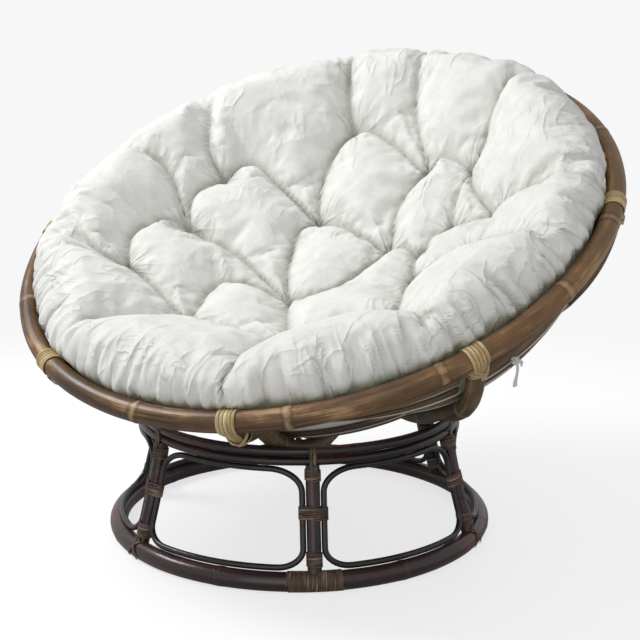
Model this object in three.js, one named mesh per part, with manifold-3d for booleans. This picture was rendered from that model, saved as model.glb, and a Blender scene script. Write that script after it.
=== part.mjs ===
// Papasan chair: a dished bowl of rattan poles that lies loose on a round rattan stand, with one
// thick tufted cushion. Millimetres, +Z up. The sitter looks along -Y, where the rim is low. The
// origin is on the floor under the middle of the whole chair.
import * as THREE from 'three';
import Module from 'manifold-3d';
import { mergeVertices } from 'three/addons/utils/BufferGeometryUtils.js';

const wasm = await Module();
wasm.setup();

// Driving dimensions
const clearance = 0.3;                    // air between neighbouring pieces
const overrun = 4;                        // how far a cutting body runs past what it cuts
const floorRing = { radius: 314, poleRadius: 15.5, planed: 1.1 };
const seatRing = { rimShare: 0.5303, poleRadius: 7.8 };
const underRing = { poleRadius: 7, height: 194.7, airAbove: 1 };
const upright = { poleRadius: 11.2, bend: 0.3 };    // how far it bends off straight in a lashing
const panelLoop = {
  poleRadius: 5,
  topCorner: { wide: 52, tall: 36 },
  bottomCorner: { wide: 42, tall: 28 },
};
const lashing = { aboveFloorRing: 32.6, belowUnderRing: 19.2 };   // the end lashings, from ring middles
const waistShare = 0.561;                 // the waist lashing, from the floor ring up to the under ring
const peel = { thickness: 1.3, width: 4.6, turnGap: 0.6 };
const splice = { length: 92 };
const rim = { radius: 508, poleRadius: 16.5, belowCentre: 110 };
const rib = { poleRadius: 14.2, endRadius: 118, bow: 1.2 };
const bottomRing = { radius: 150, poleRadius: 10 };
const support = { inset: 50.8 };          // how much deeper the ribs lie on the seat than at the rim
const band = { width: 23, thickness: 3.6, lashingGap: 5.7 };
const saddle = { width: 27, thickness: 2.2, leg: 30, collar: 9 };
const cushion = {
  sideGap: 7.5,                           // to the rim
  seamIn: 20,                             // the seam and the crest stand this far in from the side
  crestIn: 52,
  crestRise: 50,
  backRise: 18,
  seamRise: 56,
  middleThickness: 191,
  tuftDepth: 52,
  creaseDepth: 26,
  outerDepth: 40,
  pillow: 74,                             // how far from a crease the cover has risen to its full
  puff: 46,
  shoulder: 31,                           // how far the outer cells stand up behind the crest
  sidePull: 6,
  sideRise: 28,
  ringReach: 35,
};
const tie = { width: 8, thickness: 2.4, tail: 42, knotRadius: 6.5 };

const uprightCount = 6;
const uprightDegrees = 35.4;              // the first upright, from the front towards +X
const ribDegrees = [13.2, 55.4, 101.9, 147, 192, 237, 282, 328.7];
const tiltDegrees = 27.6;                 // the bowl's lean to the front at rest
const steepestTilt = 32;
const shoulderMargin = 1.5;
const tiltSamples = 16;
const headingNudge = 0.25;
const lashingTurns = 3;
const spliceGroovesCount = 5;
const tieRibIndex = 1;
const flareShare = 1.2;                   // powers of the curves: how late the stand flares out,
const swellShare = 1.3;                   // how late and how steeply the ribs swell out,
const swellEaseShare = 2.5;
const dishShare = 2.05;                   // and how flat the cushion's middle is
const puffReachShare = 2.9;               // how fast the puff and the creases grow in from the crest
const creaseReachShare = 9;
const shoulderPlaceShare = 0.88;
const shoulderReachShare = 0.24;
const tieSpreadShare = 1.3;
// The bands, between the first one and the bottom ring, and where the cushion's underside is drawn
// below them
const bandShares = [0, 0.109, 0.221, 0.38, 0.574, 0.797];
const lowShares = [0.913, 0.98, 1.087, 1.271];

// Tufts of the cushion, as shares of the crest's radius across and back, and the creases sewn
// between them: pairs of tufts, and the angle where a crease runs out over the roll
const tuftShares = [
  [-0.19, 0.72], [-0.65, 0.33], [-0.66, 0.02], [-0.7, -0.37], [-0.19, 0.29], [-0.1, -0.19],
  [-0.33, -0.53], [0.22, 0.58], [0.44, 0.55], [0.19, 0.17], [0.4, 0.18], [0.66, 0.26],
  [0.41, -0.04], [0.62, 0.04], [0.14, -0.56], [0.5, -0.38],
];
const tuftPairIndex = [
  [1, 2], [2, 3], [3, 6], [2, 5], [6, 5], [4, 5], [4, 1], [4, 0], [5, 9], [4, 9], [0, 7], [9, 7],
  [7, 8], [8, 11], [9, 10], [10, 11], [10, 12], [12, 13], [5, 14], [14, 6], [14, 15], [12, 15],
];
const outerDegrees = [
  [0, 196], [1, 233], [2, 257], [3, 286], [7, 178], [8, 149], [11, 106], [13, 83], [6, 330],
  [14, 12], [15, 52],
];

const thickSideCount = 10;
const middleSideCount = 8;
const thinSideCount = 6;
const ringSteps = 30;
const cornerSteps = 3;
const tieSteps = 3;
const rimRibSteps = 6;                    // steps from one rib to the next
const bowlRibSteps = 4;
const saddleSteps = 4;
const runRounds = 8;
const leastHighSteps = 5;
const ribSteps = 14;
const uprightSteps = 8;

// Sizes that follow
const floorRingHeight = floorRing.poleRadius - floorRing.planed;
const seatRingHeight = underRing.height + underRing.poleRadius + underRing.airAbove + seatRing.poleRadius;
const seatRingRadius = rim.radius * seatRing.rimShare;
const tilt = THREE.MathUtils.degToRad(tiltDegrees);
const rimReach = Math.hypot(rim.radius, rim.belowCentre);
const rimAngle = Math.atan2(rim.radius, rim.belowCentre);
const supportReach = rimReach - support.inset;
const supportSphere = supportReach + rib.poleRadius;
const ribFace = rib.poleRadius + rib.bow;    // the ribs' straight runs bow in past their middle line
const seatReach = supportSphere + clearance + seatRing.poleRadius;
const centreHeight = seatRingHeight + Math.sqrt(seatReach ** 2 - seatRingRadius ** 2);
const seatAngle = Math.asin(seatRingRadius / seatReach);
const standPlace = -rim.belowCentre * Math.sin(tilt);
const fullTurn = 360;
const sideRadius = rim.radius - rim.poleRadius - cushion.sideGap;
const seamRadius = sideRadius - cushion.seamIn;
const crestRadius = sideRadius - cushion.crestIn;
const firstBandAngle = rimAngle - (saddle.leg + band.lashingGap + band.width / 2) / rimReach;
const bottomRingReach = supportReach - ribFace - clearance - bottomRing.poleRadius;
const ringEdgeAngle = Math.asin((bottomRing.radius + bottomRing.poleRadius) / bottomRingReach);
const bandAngles = bandShares.map(bowlAngleAt);

function material(colour, roughness) {
  return new THREE.MeshStandardMaterial({ color: colour, roughness, metalness: 0 });
}

const lacquer = material(0x2a1d1c, 0.35);
const lacquerThin = material(0x241a1a, 0.4);
const peelDark = material(0x6d5b4c, 0.7);
const cane = material(0x7a5539, 0.45);
const ribCane = material(0x6f6045, 0.55);
const splitCane = material(0x837054, 0.65);
const peelPale = material(0xcbb482, 0.6);
const cotton = material(0xe9e9e4, 0.95);

function polar(radius, angle, height) {
  return new THREE.Vector3(radius * Math.sin(angle), -radius * Math.cos(angle), height);
}

function shares(count) {
  return Array.from({ length: count + 1 }, (_, step) => step / count);
}

function radians(degrees) {
  return THREE.MathUtils.degToRad(degrees);
}

// A skin over rows of points. A closed one comes back to its first row, an open one gets flat ends.
function skin(rows, closed) {
  const across = rows[0].length;
  const positions = rows.flat().flatMap((point) => [point.x, point.y, point.z]);
  const index = [];
  const spans = closed ? rows.length : rows.length - 1;
  for (let row = 0; row < spans; row += 1) {
    const next = (row + 1) % rows.length;
    for (let column = 0; column < across; column += 1) {
      const beside = (column + 1) % across;
      const corner = row * across + column;
      index.push(corner, row * across + beside, next * across + beside);
      index.push(corner, next * across + beside, next * across + column);
    }
  }
  if (!closed) {
    const last = (rows.length - 1) * across;
    for (let column = 1; column < across - 1; column += 1) {
      index.push(0, column + 1, column);
      index.push(last, last + column, last + column + 1);
    }
  }
  const geometry = new THREE.BufferGeometry();
  geometry.setAttribute('position', new THREE.Float32BufferAttribute(positions, 3));
  geometry.setIndex(index);
  return facingOut(geometry);
}

function facingOut(geometry) {
  const place = geometry.getAttribute('position');
  const index = geometry.getIndex().array;
  const [a, b, c] = [new THREE.Vector3(), new THREE.Vector3(), new THREE.Vector3()];
  let volume = 0;
  for (let i = 0; i < index.length; i += 3) {
    a.fromBufferAttribute(place, index[i]);
    b.fromBufferAttribute(place, index[i + 1]);
    c.fromBufferAttribute(place, index[i + 2]);
    volume += a.dot(b.cross(c));
  }
  if (volume < 0) {
    for (let i = 0; i < index.length; i += 3) {
      [index[i + 1], index[i + 2]] = [index[i + 2], index[i + 1]];
    }
  }
  return geometry;
}

// An angle from the bowl's bottom, as a share of the way from the first band to the bottom ring
function bowlAngleAt(share) {
  return firstBandAngle + share * (ringEdgeAngle - firstBandAngle);
}

// From the middle of a flat-sided round to its corners
function cornerReach(radius, sideCount) {
  return radius / Math.cos(Math.PI / sideCount);
}

// A pole along a path, its flat sides at the true radius. Spots hold its place, its heading and a
// direction square to it that one flat side faces.
function pole(spots, radiusAt, sideCount, closed) {
  const rows = spots.map((spot, step) => {
    const side = new THREE.Vector3().crossVectors(spot.heading, spot.normal).normalize();
    const out = new THREE.Vector3().crossVectors(side, spot.heading).normalize();
    const radius = cornerReach(radiusAt(step), sideCount);
    return Array.from({ length: sideCount }, (_, corner) => {
      const turn = ((corner + 1 / 2) / sideCount) * 2 * Math.PI;
      return spot.place.clone()
        .addScaledVector(out, radius * Math.cos(turn))
        .addScaledVector(side, radius * Math.sin(turn));
    });
  });
  return skin(rows, closed);
}

// Spots round a ring. Its flat side leans in from straight up by the lean.
function ringSpots(radius, height, angles, lean = 0) {
  return angles.map((angle) => ({
    place: polar(radius, angle, height),
    heading: polar(1, angle + Math.PI / 2, 0),
    normal: polar(-Math.sin(lean), angle, Math.cos(lean)),
  }));
}

function ringAngles(steps, first) {
  return Array.from({ length: steps }, (_, step) => first + (step / steps) * 2 * Math.PI);
}

function toSolid(geometry) {
  const bare = new THREE.BufferGeometry();
  bare.setAttribute('position', geometry.getAttribute('position'));
  bare.setIndex(geometry.getIndex());
  const merged = mergeVertices(bare);
  return new wasm.Manifold(new wasm.Mesh({
    numProp: 3,
    vertProperties: new Float32Array(merged.getAttribute('position').array),
    triVerts: new Uint32Array(merged.getIndex().array),
  }));
}

function toGeometry(solid) {
  const mesh = solid.getMesh();
  const geometry = new THREE.BufferGeometry();
  geometry.setAttribute('position', new THREE.Float32BufferAttribute(mesh.vertProperties, mesh.numProp));
  geometry.setIndex(Array.from(mesh.triVerts));
  return geometry;
}

function cut(geometry, ...tools) {
  return toGeometry(tools.reduce((solid, tool) => solid.subtract(toSolid(tool)), toSolid(geometry)));
}

function named(name, geometry, look) {
  const mesh = new THREE.Mesh(geometry, look);
  mesh.name = name;
  return mesh;
}

// Stand
function uprightRadius(height) {
  const share = (underRing.height - height) / (underRing.height - floorRingHeight);
  return seatRingRadius + (floorRing.radius - seatRingRadius) * Math.max(share, 0) ** flareShare;
}

function uprightSpot(angle, height) {
  const slope = (floorRing.radius - seatRingRadius) / (underRing.height - floorRingHeight);
  const share = Math.max((underRing.height - height) / (underRing.height - floorRingHeight), 0);
  const lean = -slope * flareShare * share ** (flareShare - 1);
  return {
    place: polar(uprightRadius(height), angle, height),
    heading: polar(lean, angle, 1).normalize(),
    normal: polar(1, angle, 0),
  };
}

function uprightAngle(index) {
  return radians(uprightDegrees) + (index / uprightCount) * 2 * Math.PI;
}

function floorRingPole(radius) {
  const spots = ringSpots(floorRing.radius, floorRingHeight, ringAngles(ringSteps, uprightAngle(0)));
  return pole(spots, () => radius, thickSideCount, true);
}

function floorRingGeometry() {
  const reach = floorRing.radius + floorRing.poleRadius + overrun;
  const plane = new THREE.BoxGeometry(2 * reach, 2 * reach, floorRing.poleRadius);
  plane.translate(0, 0, -floorRing.poleRadius / 2);
  return cut(floorRingPole(floorRing.poleRadius), plane);
}

function seatRingGeometry() {
  const angles = ringAngles(ringSteps, uprightAngle(0));
  const radius = cornerReach(seatRingRadius, ringSteps);
  const spots = ringSpots(radius, seatRingHeight, angles, seatAngle);
  return pole(spots, () => seatRing.poleRadius, middleSideCount, true);
}

function underRingPole(radius) {
  const spots = ringSpots(seatRingRadius, underRing.height, ringAngles(ringSteps, uprightAngle(0)));
  return pole(spots, () => radius, thinSideCount, true);
}

// An upright runs from ring to ring, and each end is notched to sit on its ring
function uprightGeometry(angle) {
  const spots = shares(uprightSteps).map((share) => (
    uprightSpot(angle, floorRingHeight + share * (underRing.height - floorRingHeight))
  ));
  const whole = pole(spots, () => upright.poleRadius, middleSideCount, false);
  return cut(
    whole,
    floorRingPole(floorRing.poleRadius + clearance),
    underRingPole(underRing.poleRadius + clearance),
  );
}

// The middle of a panel loop's cane stands this far from an upright's middle
const loopReach = clearance + cornerReach(panelLoop.poleRadius, thinSideCount);
const loopOffset = upright.poleRadius + upright.bend + loopReach;

function loopRunHeight(ringHeight, ringRadius, ringPole, way) {
  const reach = ringPole + loopReach;
  let rise = reach;
  for (let round = 0; round < runRounds; round += 1) {
    const aside = ringRadius - uprightRadius(ringHeight + way * rise);
    rise = Math.sqrt(reach ** 2 - aside ** 2);
  }
  return ringHeight + way * rise;
}

// A loop fills the field between two uprights. It is drawn flat, as a place across the field
// between -1 and 1 and a height, and then laid on the flared shape that the uprights stand on.
function loopOutline() {
  const lowPole = cornerReach(floorRing.poleRadius, thickSideCount);
  const highPole = cornerReach(underRing.poleRadius, thinSideCount);
  const low = loopRunHeight(floorRingHeight, floorRing.radius, lowPole, 1);
  const high = loopRunHeight(underRing.height, seatRingRadius, highPole, -1);
  const halfField = Math.PI / uprightCount;
  const halfWidth = (height) => uprightRadius(height) * halfField - loopOffset;
  const outline = [];
  const corner = (ringSide, { wide, tall }, way, from) => {
    const height = ringSide - Math.sign(ringSide - (low + high) / 2) * tall;
    shares(cornerSteps).forEach((share) => {
      const turn = from + share * Math.PI / 2;
      const across = halfWidth(height) - wide + wide * Math.abs(Math.cos(turn));
      outline.push([way * across / halfWidth(height), height + tall * Math.sin(turn)]);
    });
  };
  const run = (height, { wide }, way) => {
    const step = 2 * Math.PI / ringSteps / halfField;
    const end = 1 - wide / halfWidth(height);
    const last = Math.ceil(end / step) - 1;
    for (let place = -last; place <= last; place += 1) {
      outline.push([way * place * step, height]);
    }
  };
  run(low, panelLoop.bottomCorner, 1);
  corner(low, panelLoop.bottomCorner, 1, -Math.PI / 2);
  outline.push([1, (low + high) / 2]);
  corner(high, panelLoop.topCorner, 1, 0);
  run(high, panelLoop.topCorner, -1);
  corner(high, panelLoop.topCorner, -1, Math.PI / 2);
  outline.push([-1, (low + high) / 2]);
  corner(low, panelLoop.bottomCorner, -1, Math.PI);
  return outline;
}

function loopGeometry(middleAngle) {
  const places = loopOutline().map(([side, height]) => {
    const radius = uprightRadius(height);
    const reach = Math.PI / uprightCount - Math.asin(loopOffset / radius);
    return { angle: middleAngle + side * reach, radius, height };
  });
  const points = places.map((spot) => polar(spot.radius, spot.angle, spot.height));
  const spots = places.map((spot, step) => {
    const before = points[(step + points.length - 1) % points.length];
    const after = points[(step + 1) % points.length];
    return {
      place: points[step],
      heading: after.clone().sub(before).normalize(),
      normal: polar(1, spot.angle, 0),
    };
  });
  return pole(spots, () => panelLoop.poleRadius, thinSideCount, true);
}

// The outline that peel takes round one or more poles lying side by side: straight runs that each
// touch the outermost pole, and the corners where two runs meet
function wrapOutline(poles, corners) {
  const spread = 2 * Math.PI / corners;
  const reachOf = ({ across, out, radius, sideCount }, turn) => {
    const corner = cornerReach(radius, sideCount);
    const apart = Array.from({ length: sideCount }, (_, side) => (
      Math.cos(turn - ((side + 1 / 2) / sideCount) * 2 * Math.PI)
    ));
    return across * Math.sin(turn) + out * Math.cos(turn) + corner * Math.max(...apart);
  };
  const runs = Array.from({ length: corners }, (_, corner) => {
    const turn = corner * spread;
    return { turn, reach: Math.max(...poles.map((one) => reachOf(one, turn))) + clearance };
  });
  return runs.map((run, corner) => {
    const next = runs[(corner + 1) % corners];
    const place = new THREE.Vector2(
      next.reach * Math.cos(run.turn) - run.reach * Math.cos(next.turn),
      run.reach * Math.sin(next.turn) - next.reach * Math.sin(run.turn),
    ).divideScalar(Math.sin(next.turn - run.turn));
    const turn = run.turn + spread / 2;
    return { place, away: new THREE.Vector2(Math.sin(turn), Math.cos(turn)) };
  });
}

// One unbroken strand of peel, wound as a helix round the outline. It returns the strand and the
// least air between its turns.
function winding(spot, poles, turns, corners) {
  const outline = wrapOutline(poles, corners);
  const side = new THREE.Vector3().crossVectors(spot.heading, spot.normal).normalize();
  const out = new THREE.Vector3().crossVectors(side, spot.heading).normalize();
  const pitch = peel.width + peel.turnGap;
  const centres = [];
  const rows = [];
  for (let step = 0; step <= turns * corners; step += 1) {
    const { place, away } = outline[step % corners];
    const along = (step / corners - turns / 2) * pitch;
    const centre = spot.place.clone()
      .addScaledVector(side, place.x)
      .addScaledVector(out, place.y)
      .addScaledVector(spot.heading, along);
    const normal = side.clone().multiplyScalar(away.x).addScaledVector(out, away.y);
    centres.push(centre);
    rows.push([[0, -1], [1, -1], [1, 1], [0, 1]].map(([lift, edge]) => (
      centre.clone()
        .addScaledVector(normal, lift * peel.thickness)
        .addScaledVector(spot.heading, edge * peel.width / 2)
    )));
  }
  let air = Infinity;
  for (let step = 0; step + corners < centres.length; step += 1) {
    const apart = centres[step + corners].clone().sub(centres[step]).dot(spot.heading);
    air = Math.min(air, Math.abs(apart) - peel.width);
  }
  return { geometry: skin(rows, false), air };
}

const windingAirs = [];

function wound(name, spot, poles, turns, corners) {
  const { geometry, air } = winding(spot, poles, turns, corners);
  windingAirs.push(air);
  return named(name, geometry, peelDark);
}

function spliceGeometry() {
  const half = splice.length / 2 / floorRing.radius;
  const first = uprightAngle(0);
  const groovedRadius = floorRing.poleRadius + clearance + peel.thickness;
  const angles = shares(2 * spliceGroovesCount).map((share) => first + (2 * share - 1) * half);
  const spots = ringSpots(floorRing.radius, floorRingHeight, angles);
  const radiusAt = (step) => groovedRadius + (step % 2 ? peel.thickness / 2 : 0);
  const wrap = pole(spots, radiusAt, thickSideCount, false);
  const reach = floorRing.radius + floorRing.poleRadius + overrun;
  const floor = new THREE.BoxGeometry(2 * reach, 2 * reach, floorRing.poleRadius);
  floor.translate(0, 0, -floorRing.poleRadius / 2);
  const foot = [floorRingHeight, floorRingHeight + floorRing.poleRadius * 2]
    .map((height) => uprightSpot(first, height));
  return cut(
    wrap,
    floor,
    floorRingPole(floorRing.poleRadius + clearance),
    pole(foot, () => upright.poleRadius + clearance, middleSideCount, false),
  );
}

function stand() {
  const group = new THREE.Group();
  group.add(named('floor_ring', floorRingGeometry(), lacquer));
  group.add(named('seat_ring', seatRingGeometry(), lacquer));
  group.add(named('under_ring', underRingPole(underRing.poleRadius), lacquer));
  const postRadius = upright.poleRadius + upright.bend;
  const post = { across: 0, out: 0, radius: postRadius, sideCount: middleSideCount };
  const waist = floorRingHeight + waistShare * (underRing.height - floorRingHeight);
  const foot = floorRingHeight + lashing.aboveFloorRing;
  const head = underRing.height - lashing.belowUnderRing;
  const waistRadius = uprightRadius(waist);
  const loopSides = [-1, 1].map((way) => ({
    across: way * loopOffset,
    out: Math.sqrt(waistRadius ** 2 - loopOffset ** 2) - waistRadius,
    radius: panelLoop.poleRadius,
    sideCount: thinSideCount,
  }));
  for (let index = 0; index < uprightCount; index += 1) {
    const angle = uprightAngle(index);
    const place = index + 1;
    group.add(named(`upright_${place}`, uprightGeometry(angle), lacquer));
    group.add(named(`panel_loop_${place}`, loopGeometry(angle + Math.PI / uprightCount), lacquerThin));
    const at = (height) => uprightSpot(angle, height);
    const three = [post, ...loopSides];
    group.add(wound(`waist_lashing_${place}`, at(waist), three, lashingTurns, thickSideCount));
    group.add(wound(`foot_lashing_${place}`, at(foot), [post], lashingTurns, middleSideCount));
    group.add(wound(`head_lashing_${place}`, at(head), [post], lashingTurns, middleSideCount));
  }
  group.add(named('splice_lashing', spliceGeometry(), peelDark));
  group.position.y = standPlace;
  return group;
}

// Bowl, drawn about the middle of the round shape that rests on the seat ring, with the rim below
function bowlDirection(angle, around) {
  return polar(Math.sin(angle), around, -Math.cos(angle));
}

// Along a rib, the seat ring can reach this far from the bowl's bottom at any tilt
function shoulderAngle(around) {
  const reached = shares(tiltSamples).map((share) => {
    const lean = share * radians(steepestTilt);
    const level = Math.cos(lean);
    const drop = Math.sin(lean) * Math.cos(around);
    const meets = Math.min(Math.cos(seatAngle) / Math.hypot(level, drop), 1);
    return Math.atan2(drop, level) + Math.acos(meets);
  });
  return Math.max(...reached) + radians(shoulderMargin);
}

// Distance from the centre to a rib's middle: a true sphere as far as the seat ring can reach,
// swelling above that to the rim
function ribReach(angle, around) {
  const shoulder = shoulderAngle(around);
  const share = Math.min(Math.max((angle - shoulder) / (rimAngle - shoulder), 0), 1);
  const swell = 1 - (1 - share ** swellShare) ** swellEaseShare;
  return supportReach + support.inset * swell;
}

// A rib's middle at an angle from the bottom, and the way the rib heads there
function ribPlace(angle, around) {
  return bowlDirection(angle, around).multiplyScalar(ribReach(angle, around));
}

function ribHeading(angle, around) {
  const nudge = radians(headingNudge);
  return ribPlace(angle + nudge, around).sub(ribPlace(angle - nudge, around)).normalize();
}

// A place inside the bowl, this far in from a rib's middle and square to the rib
function bowlPoint(angle, around, inset) {
  const side = polar(1, around + Math.PI / 2, 0);
  const inward = new THREE.Vector3().crossVectors(ribHeading(angle, around), side).normalize();
  return ribPlace(angle, around).addScaledVector(inward, inset);
}

function rimPole(radius) {
  const spots = ringSpots(rim.radius, -rim.belowCentre, bowlAngles(rimRibSteps));
  return pole(spots, () => radius, thickSideCount, true);
}

function ribSpot(angle, around) {
  return {
    place: ribPlace(angle, around),
    heading: ribHeading(angle, around),
    normal: polar(1, around + Math.PI / 2, 0),
  };
}

// Angles round the bowl: each rib's, and equal steps from it to the next
function bowlAngles(steps) {
  return ribDegrees.flatMap((degrees, index) => {
    const next = ribDegrees[index + 1] ?? ribDegrees[0] + fullTurn;
    return shares(steps).slice(0, -1).map((share) => radians(degrees + share * (next - degrees)));
  });
}

function ribPole(around, radius) {
  const lowEnd = Math.asin(rib.endRadius / supportReach);
  const highEnd = rimAngle - rim.poleRadius / 2 / rimReach;
  const shoulder = shoulderAngle(around);
  const lowSteps = Math.ceil(ribSteps * (shoulder - lowEnd) / (rimAngle - lowEnd));
  const highSteps = Math.max(ribSteps - lowSteps, leastHighSteps);
  const low = shares(lowSteps).map((share) => lowEnd + share * (shoulder - lowEnd));
  const high = shares(highSteps).slice(1).map((share) => shoulder + share * (highEnd - shoulder));
  const spots = [...low, ...high].map((angle) => ribSpot(angle, around));
  return pole(spots, () => radius, middleSideCount, false);
}

function ribGeometry(around) {
  return cut(ribPole(around, rib.poleRadius), rimPole(rim.poleRadius + clearance));
}

function bottomRingGeometry() {
  const height = -Math.sqrt(bottomRingReach ** 2 - bottomRing.radius ** 2);
  const lean = Math.asin(bottomRing.radius / bottomRingReach);
  const spots = ringSpots(bottomRing.radius, height, bowlAngles(bowlRibSteps), lean);
  return pole(spots, () => bottomRing.poleRadius, middleSideCount, true);
}

function bandGeometry(angle) {
  const half = band.width / 2 / rimReach;
  const outer = ribFace + clearance;
  const inner = outer + band.thickness;
  const rows = bowlAngles(bowlRibSteps).map((around) => [
    bowlPoint(angle - half, around, outer),
    bowlPoint(angle + half, around, outer),
    bowlPoint(angle + half, around, inner),
    bowlPoint(angle - half, around, inner),
  ]);
  return skin(rows, true);
}

// Peel laid over the rim and down both faces of a rib's head, held by a collar round the rib
function ribLashingGeometry(around) {
  const top = ribPlace(rimAngle, around);
  const down = ribPlace(rimAngle - saddle.leg / rimReach, around).sub(top).normalize();
  const along = polar(1, around + Math.PI / 2, 0);
  const inward = new THREE.Vector3().crossVectors(along, down).normalize();
  const hole = rim.poleRadius + clearance;
  const outside = hole + saddle.thickness;
  const shape = new THREE.Shape();
  shape.moveTo(outside, 0);
  shape.absarc(0, 0, outside, 0, Math.PI, false);
  shape.lineTo(-outside, -saddle.leg);
  shape.lineTo(outside, -saddle.leg);
  const strap = new THREE.ExtrudeGeometry(shape, {
    depth: saddle.width,
    bevelEnabled: false,
    curveSegments: saddleSteps,
  });
  strap.translate(0, 0, -saddle.width / 2);
  const place = new THREE.Matrix4().makeBasis(inward, down.clone().negate(), along.clone());
  place.setPosition(top);
  const basis = place.determinant() > 0 ? place : place.scale(new THREE.Vector3(1, 1, -1));
  strap.applyMatrix4(basis);
  const collarSpots = [saddle.leg, saddle.leg - saddle.collar]
    .map((drop) => ribSpot(rimAngle - drop / rimReach, around));
  const collarRadius = rib.poleRadius + clearance + saddle.thickness * 2;
  const collar = pole(collarSpots, () => collarRadius, middleSideCount, false);
  const ribTool = ribPole(around, rib.poleRadius + clearance);
  const rimTool = rimPole(hole);
  const clipped = toSolid(looseToClosed(strap)).add(toSolid(collar));
  return toGeometry(clipped.subtract(toSolid(ribTool)).subtract(toSolid(rimTool)));
}

// A geometry with split corners comes back as one closed skin, its corners shared
function looseToClosed(geometry) {
  const bare = new THREE.BufferGeometry();
  bare.setAttribute('position', geometry.getAttribute('position'));
  bare.setIndex(geometry.getIndex());
  const merged = mergeVertices(bare);
  const corners = Array.from(merged.getIndex().array);
  const kept = [];
  for (let i = 0; i < corners.length; i += 3) {
    const three = corners.slice(i, i + 3);
    if (new Set(three).size === 3) {
      kept.push(...three);
    }
  }
  merged.setIndex(kept);
  return facingOut(merged);
}

// Cushion: drawn in the bowl's own frame, heights counted from the plane of the rim
function smooth(share) {
  const held = Math.min(Math.max(share, 0), 1);
  return held * held * (3 - 2 * held);
}

function cushionTop(radius, around) {
  const backShare = (1 - Math.cos(around)) / 2;
  const crest = cushion.crestRise + cushion.backRise * backShare;
  const share = radius / crestRadius;
  const drop = supportReach - cushionInset(0) - rim.belowCentre - cushion.middleThickness;
  const dish = (drop + crest) * share ** dishShare - drop;
  const swell = cushion.puff * smooth(puffReachShare * (1 - share));
  const apart = Math.abs(share - shoulderPlaceShare) / shoulderReachShare;
  const shoulder = cushion.shoulder * smooth(1 - apart);
  const held = drawnDown(polar(radius, around, 0)) * smooth(creaseReachShare * (1 - share));
  return dish + swell + shoulder - held;
}

function tuftPlace([across, back]) {
  return new THREE.Vector3(across * crestRadius, back * crestRadius, 0);
}

// Each crease with its two ends and how deep the cover is drawn down there
const creases = [
  ...tuftPairIndex.map((pair) => ({
    ends: pair.map((index) => tuftPlace(tuftShares[index])),
    depths: [cushion.tuftDepth, cushion.tuftDepth],
  })),
  ...outerDegrees.map(([index, degrees]) => ({
    ends: [tuftPlace(tuftShares[index]), polar(crestRadius, radians(degrees), 0)],
    depths: [cushion.tuftDepth, cushion.outerDepth],
  })),
];

function drawnDown(spot) {
  const depths = creases.map(({ ends: [start, end], depths: [first, last] }) => {
    const run = end.clone().sub(start);
    const share = Math.min(Math.max(spot.clone().sub(start).dot(run) / run.lengthSq(), 0), 1);
    const apart = start.clone().addScaledVector(run, share).distanceTo(spot);
    const held = first + share * (last - first);
    const slack = Math.min(cushion.creaseDepth, held) - held;
    const depth = held + slack * Math.sin(Math.PI * share);
    return depth * (1 - smooth(apart / cushion.pillow));
  });
  return Math.max(...depths);
}

// How far the cushion's underside lies inside a rib's middle: on the bands, and lower down on the
// bottom ring
function cushionInset(angle) {
  const onBands = ribFace + band.thickness + 2 * clearance;
  const onRing = ribFace + 2 * bottomRing.poleRadius + 2 * clearance;
  const lastBand = bandAngles.at(-1) - band.width / rimReach;
  const ringEdge = (bottomRing.radius + cushion.ringReach) / supportReach;
  return onBands + (onRing - onBands) * smooth((lastBand - angle) / (lastBand - ringEdge));
}

function cushionGeometry() {
  const topShares = [0.12, 0.25, 0.37, 0.48, 0.59, 0.69, 0.78, 0.87, 0.94, 1];
  const halfBand = band.width / 2 / rimReach;
  const onBands = bandAngles.flatMap((angle) => [angle + halfBand, angle - halfBand]);
  const underAngles = [...onBands, ...lowShares.map(bowlAngleAt)];
  const level = (radius, around, height) => polar(radius, around, height - rim.belowCentre);
  const backRise = (around) => cushion.backRise * (1 - Math.cos(around)) / 2;
  const row = (arounds, radius, heightAt) => (
    arounds.map((around) => level(radius, around, heightAt(around)))
  );
  const fine = bowlAngles(2 * bowlRibSteps);
  const coarse = bowlAngles(bowlRibSteps);
  const top = topShares.map((share) => {
    const radius = share * crestRadius;
    return row(fine, radius, (around) => cushionTop(radius, around));
  });
  const under = [
    row(coarse, seamRadius, (around) => cushion.seamRise + backRise(around)),
    row(coarse, sideRadius, (around) => cushion.sideRise + backRise(around) / 3),
    row(coarse, sideRadius - cushion.sidePull, () => -rim.poleRadius),
    ...underAngles.map((angle) => (
      coarse.map((around) => bowlPoint(angle, around, cushionInset(angle)))
    )),
  ];
  return joinedSkins(top, under);
}

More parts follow.
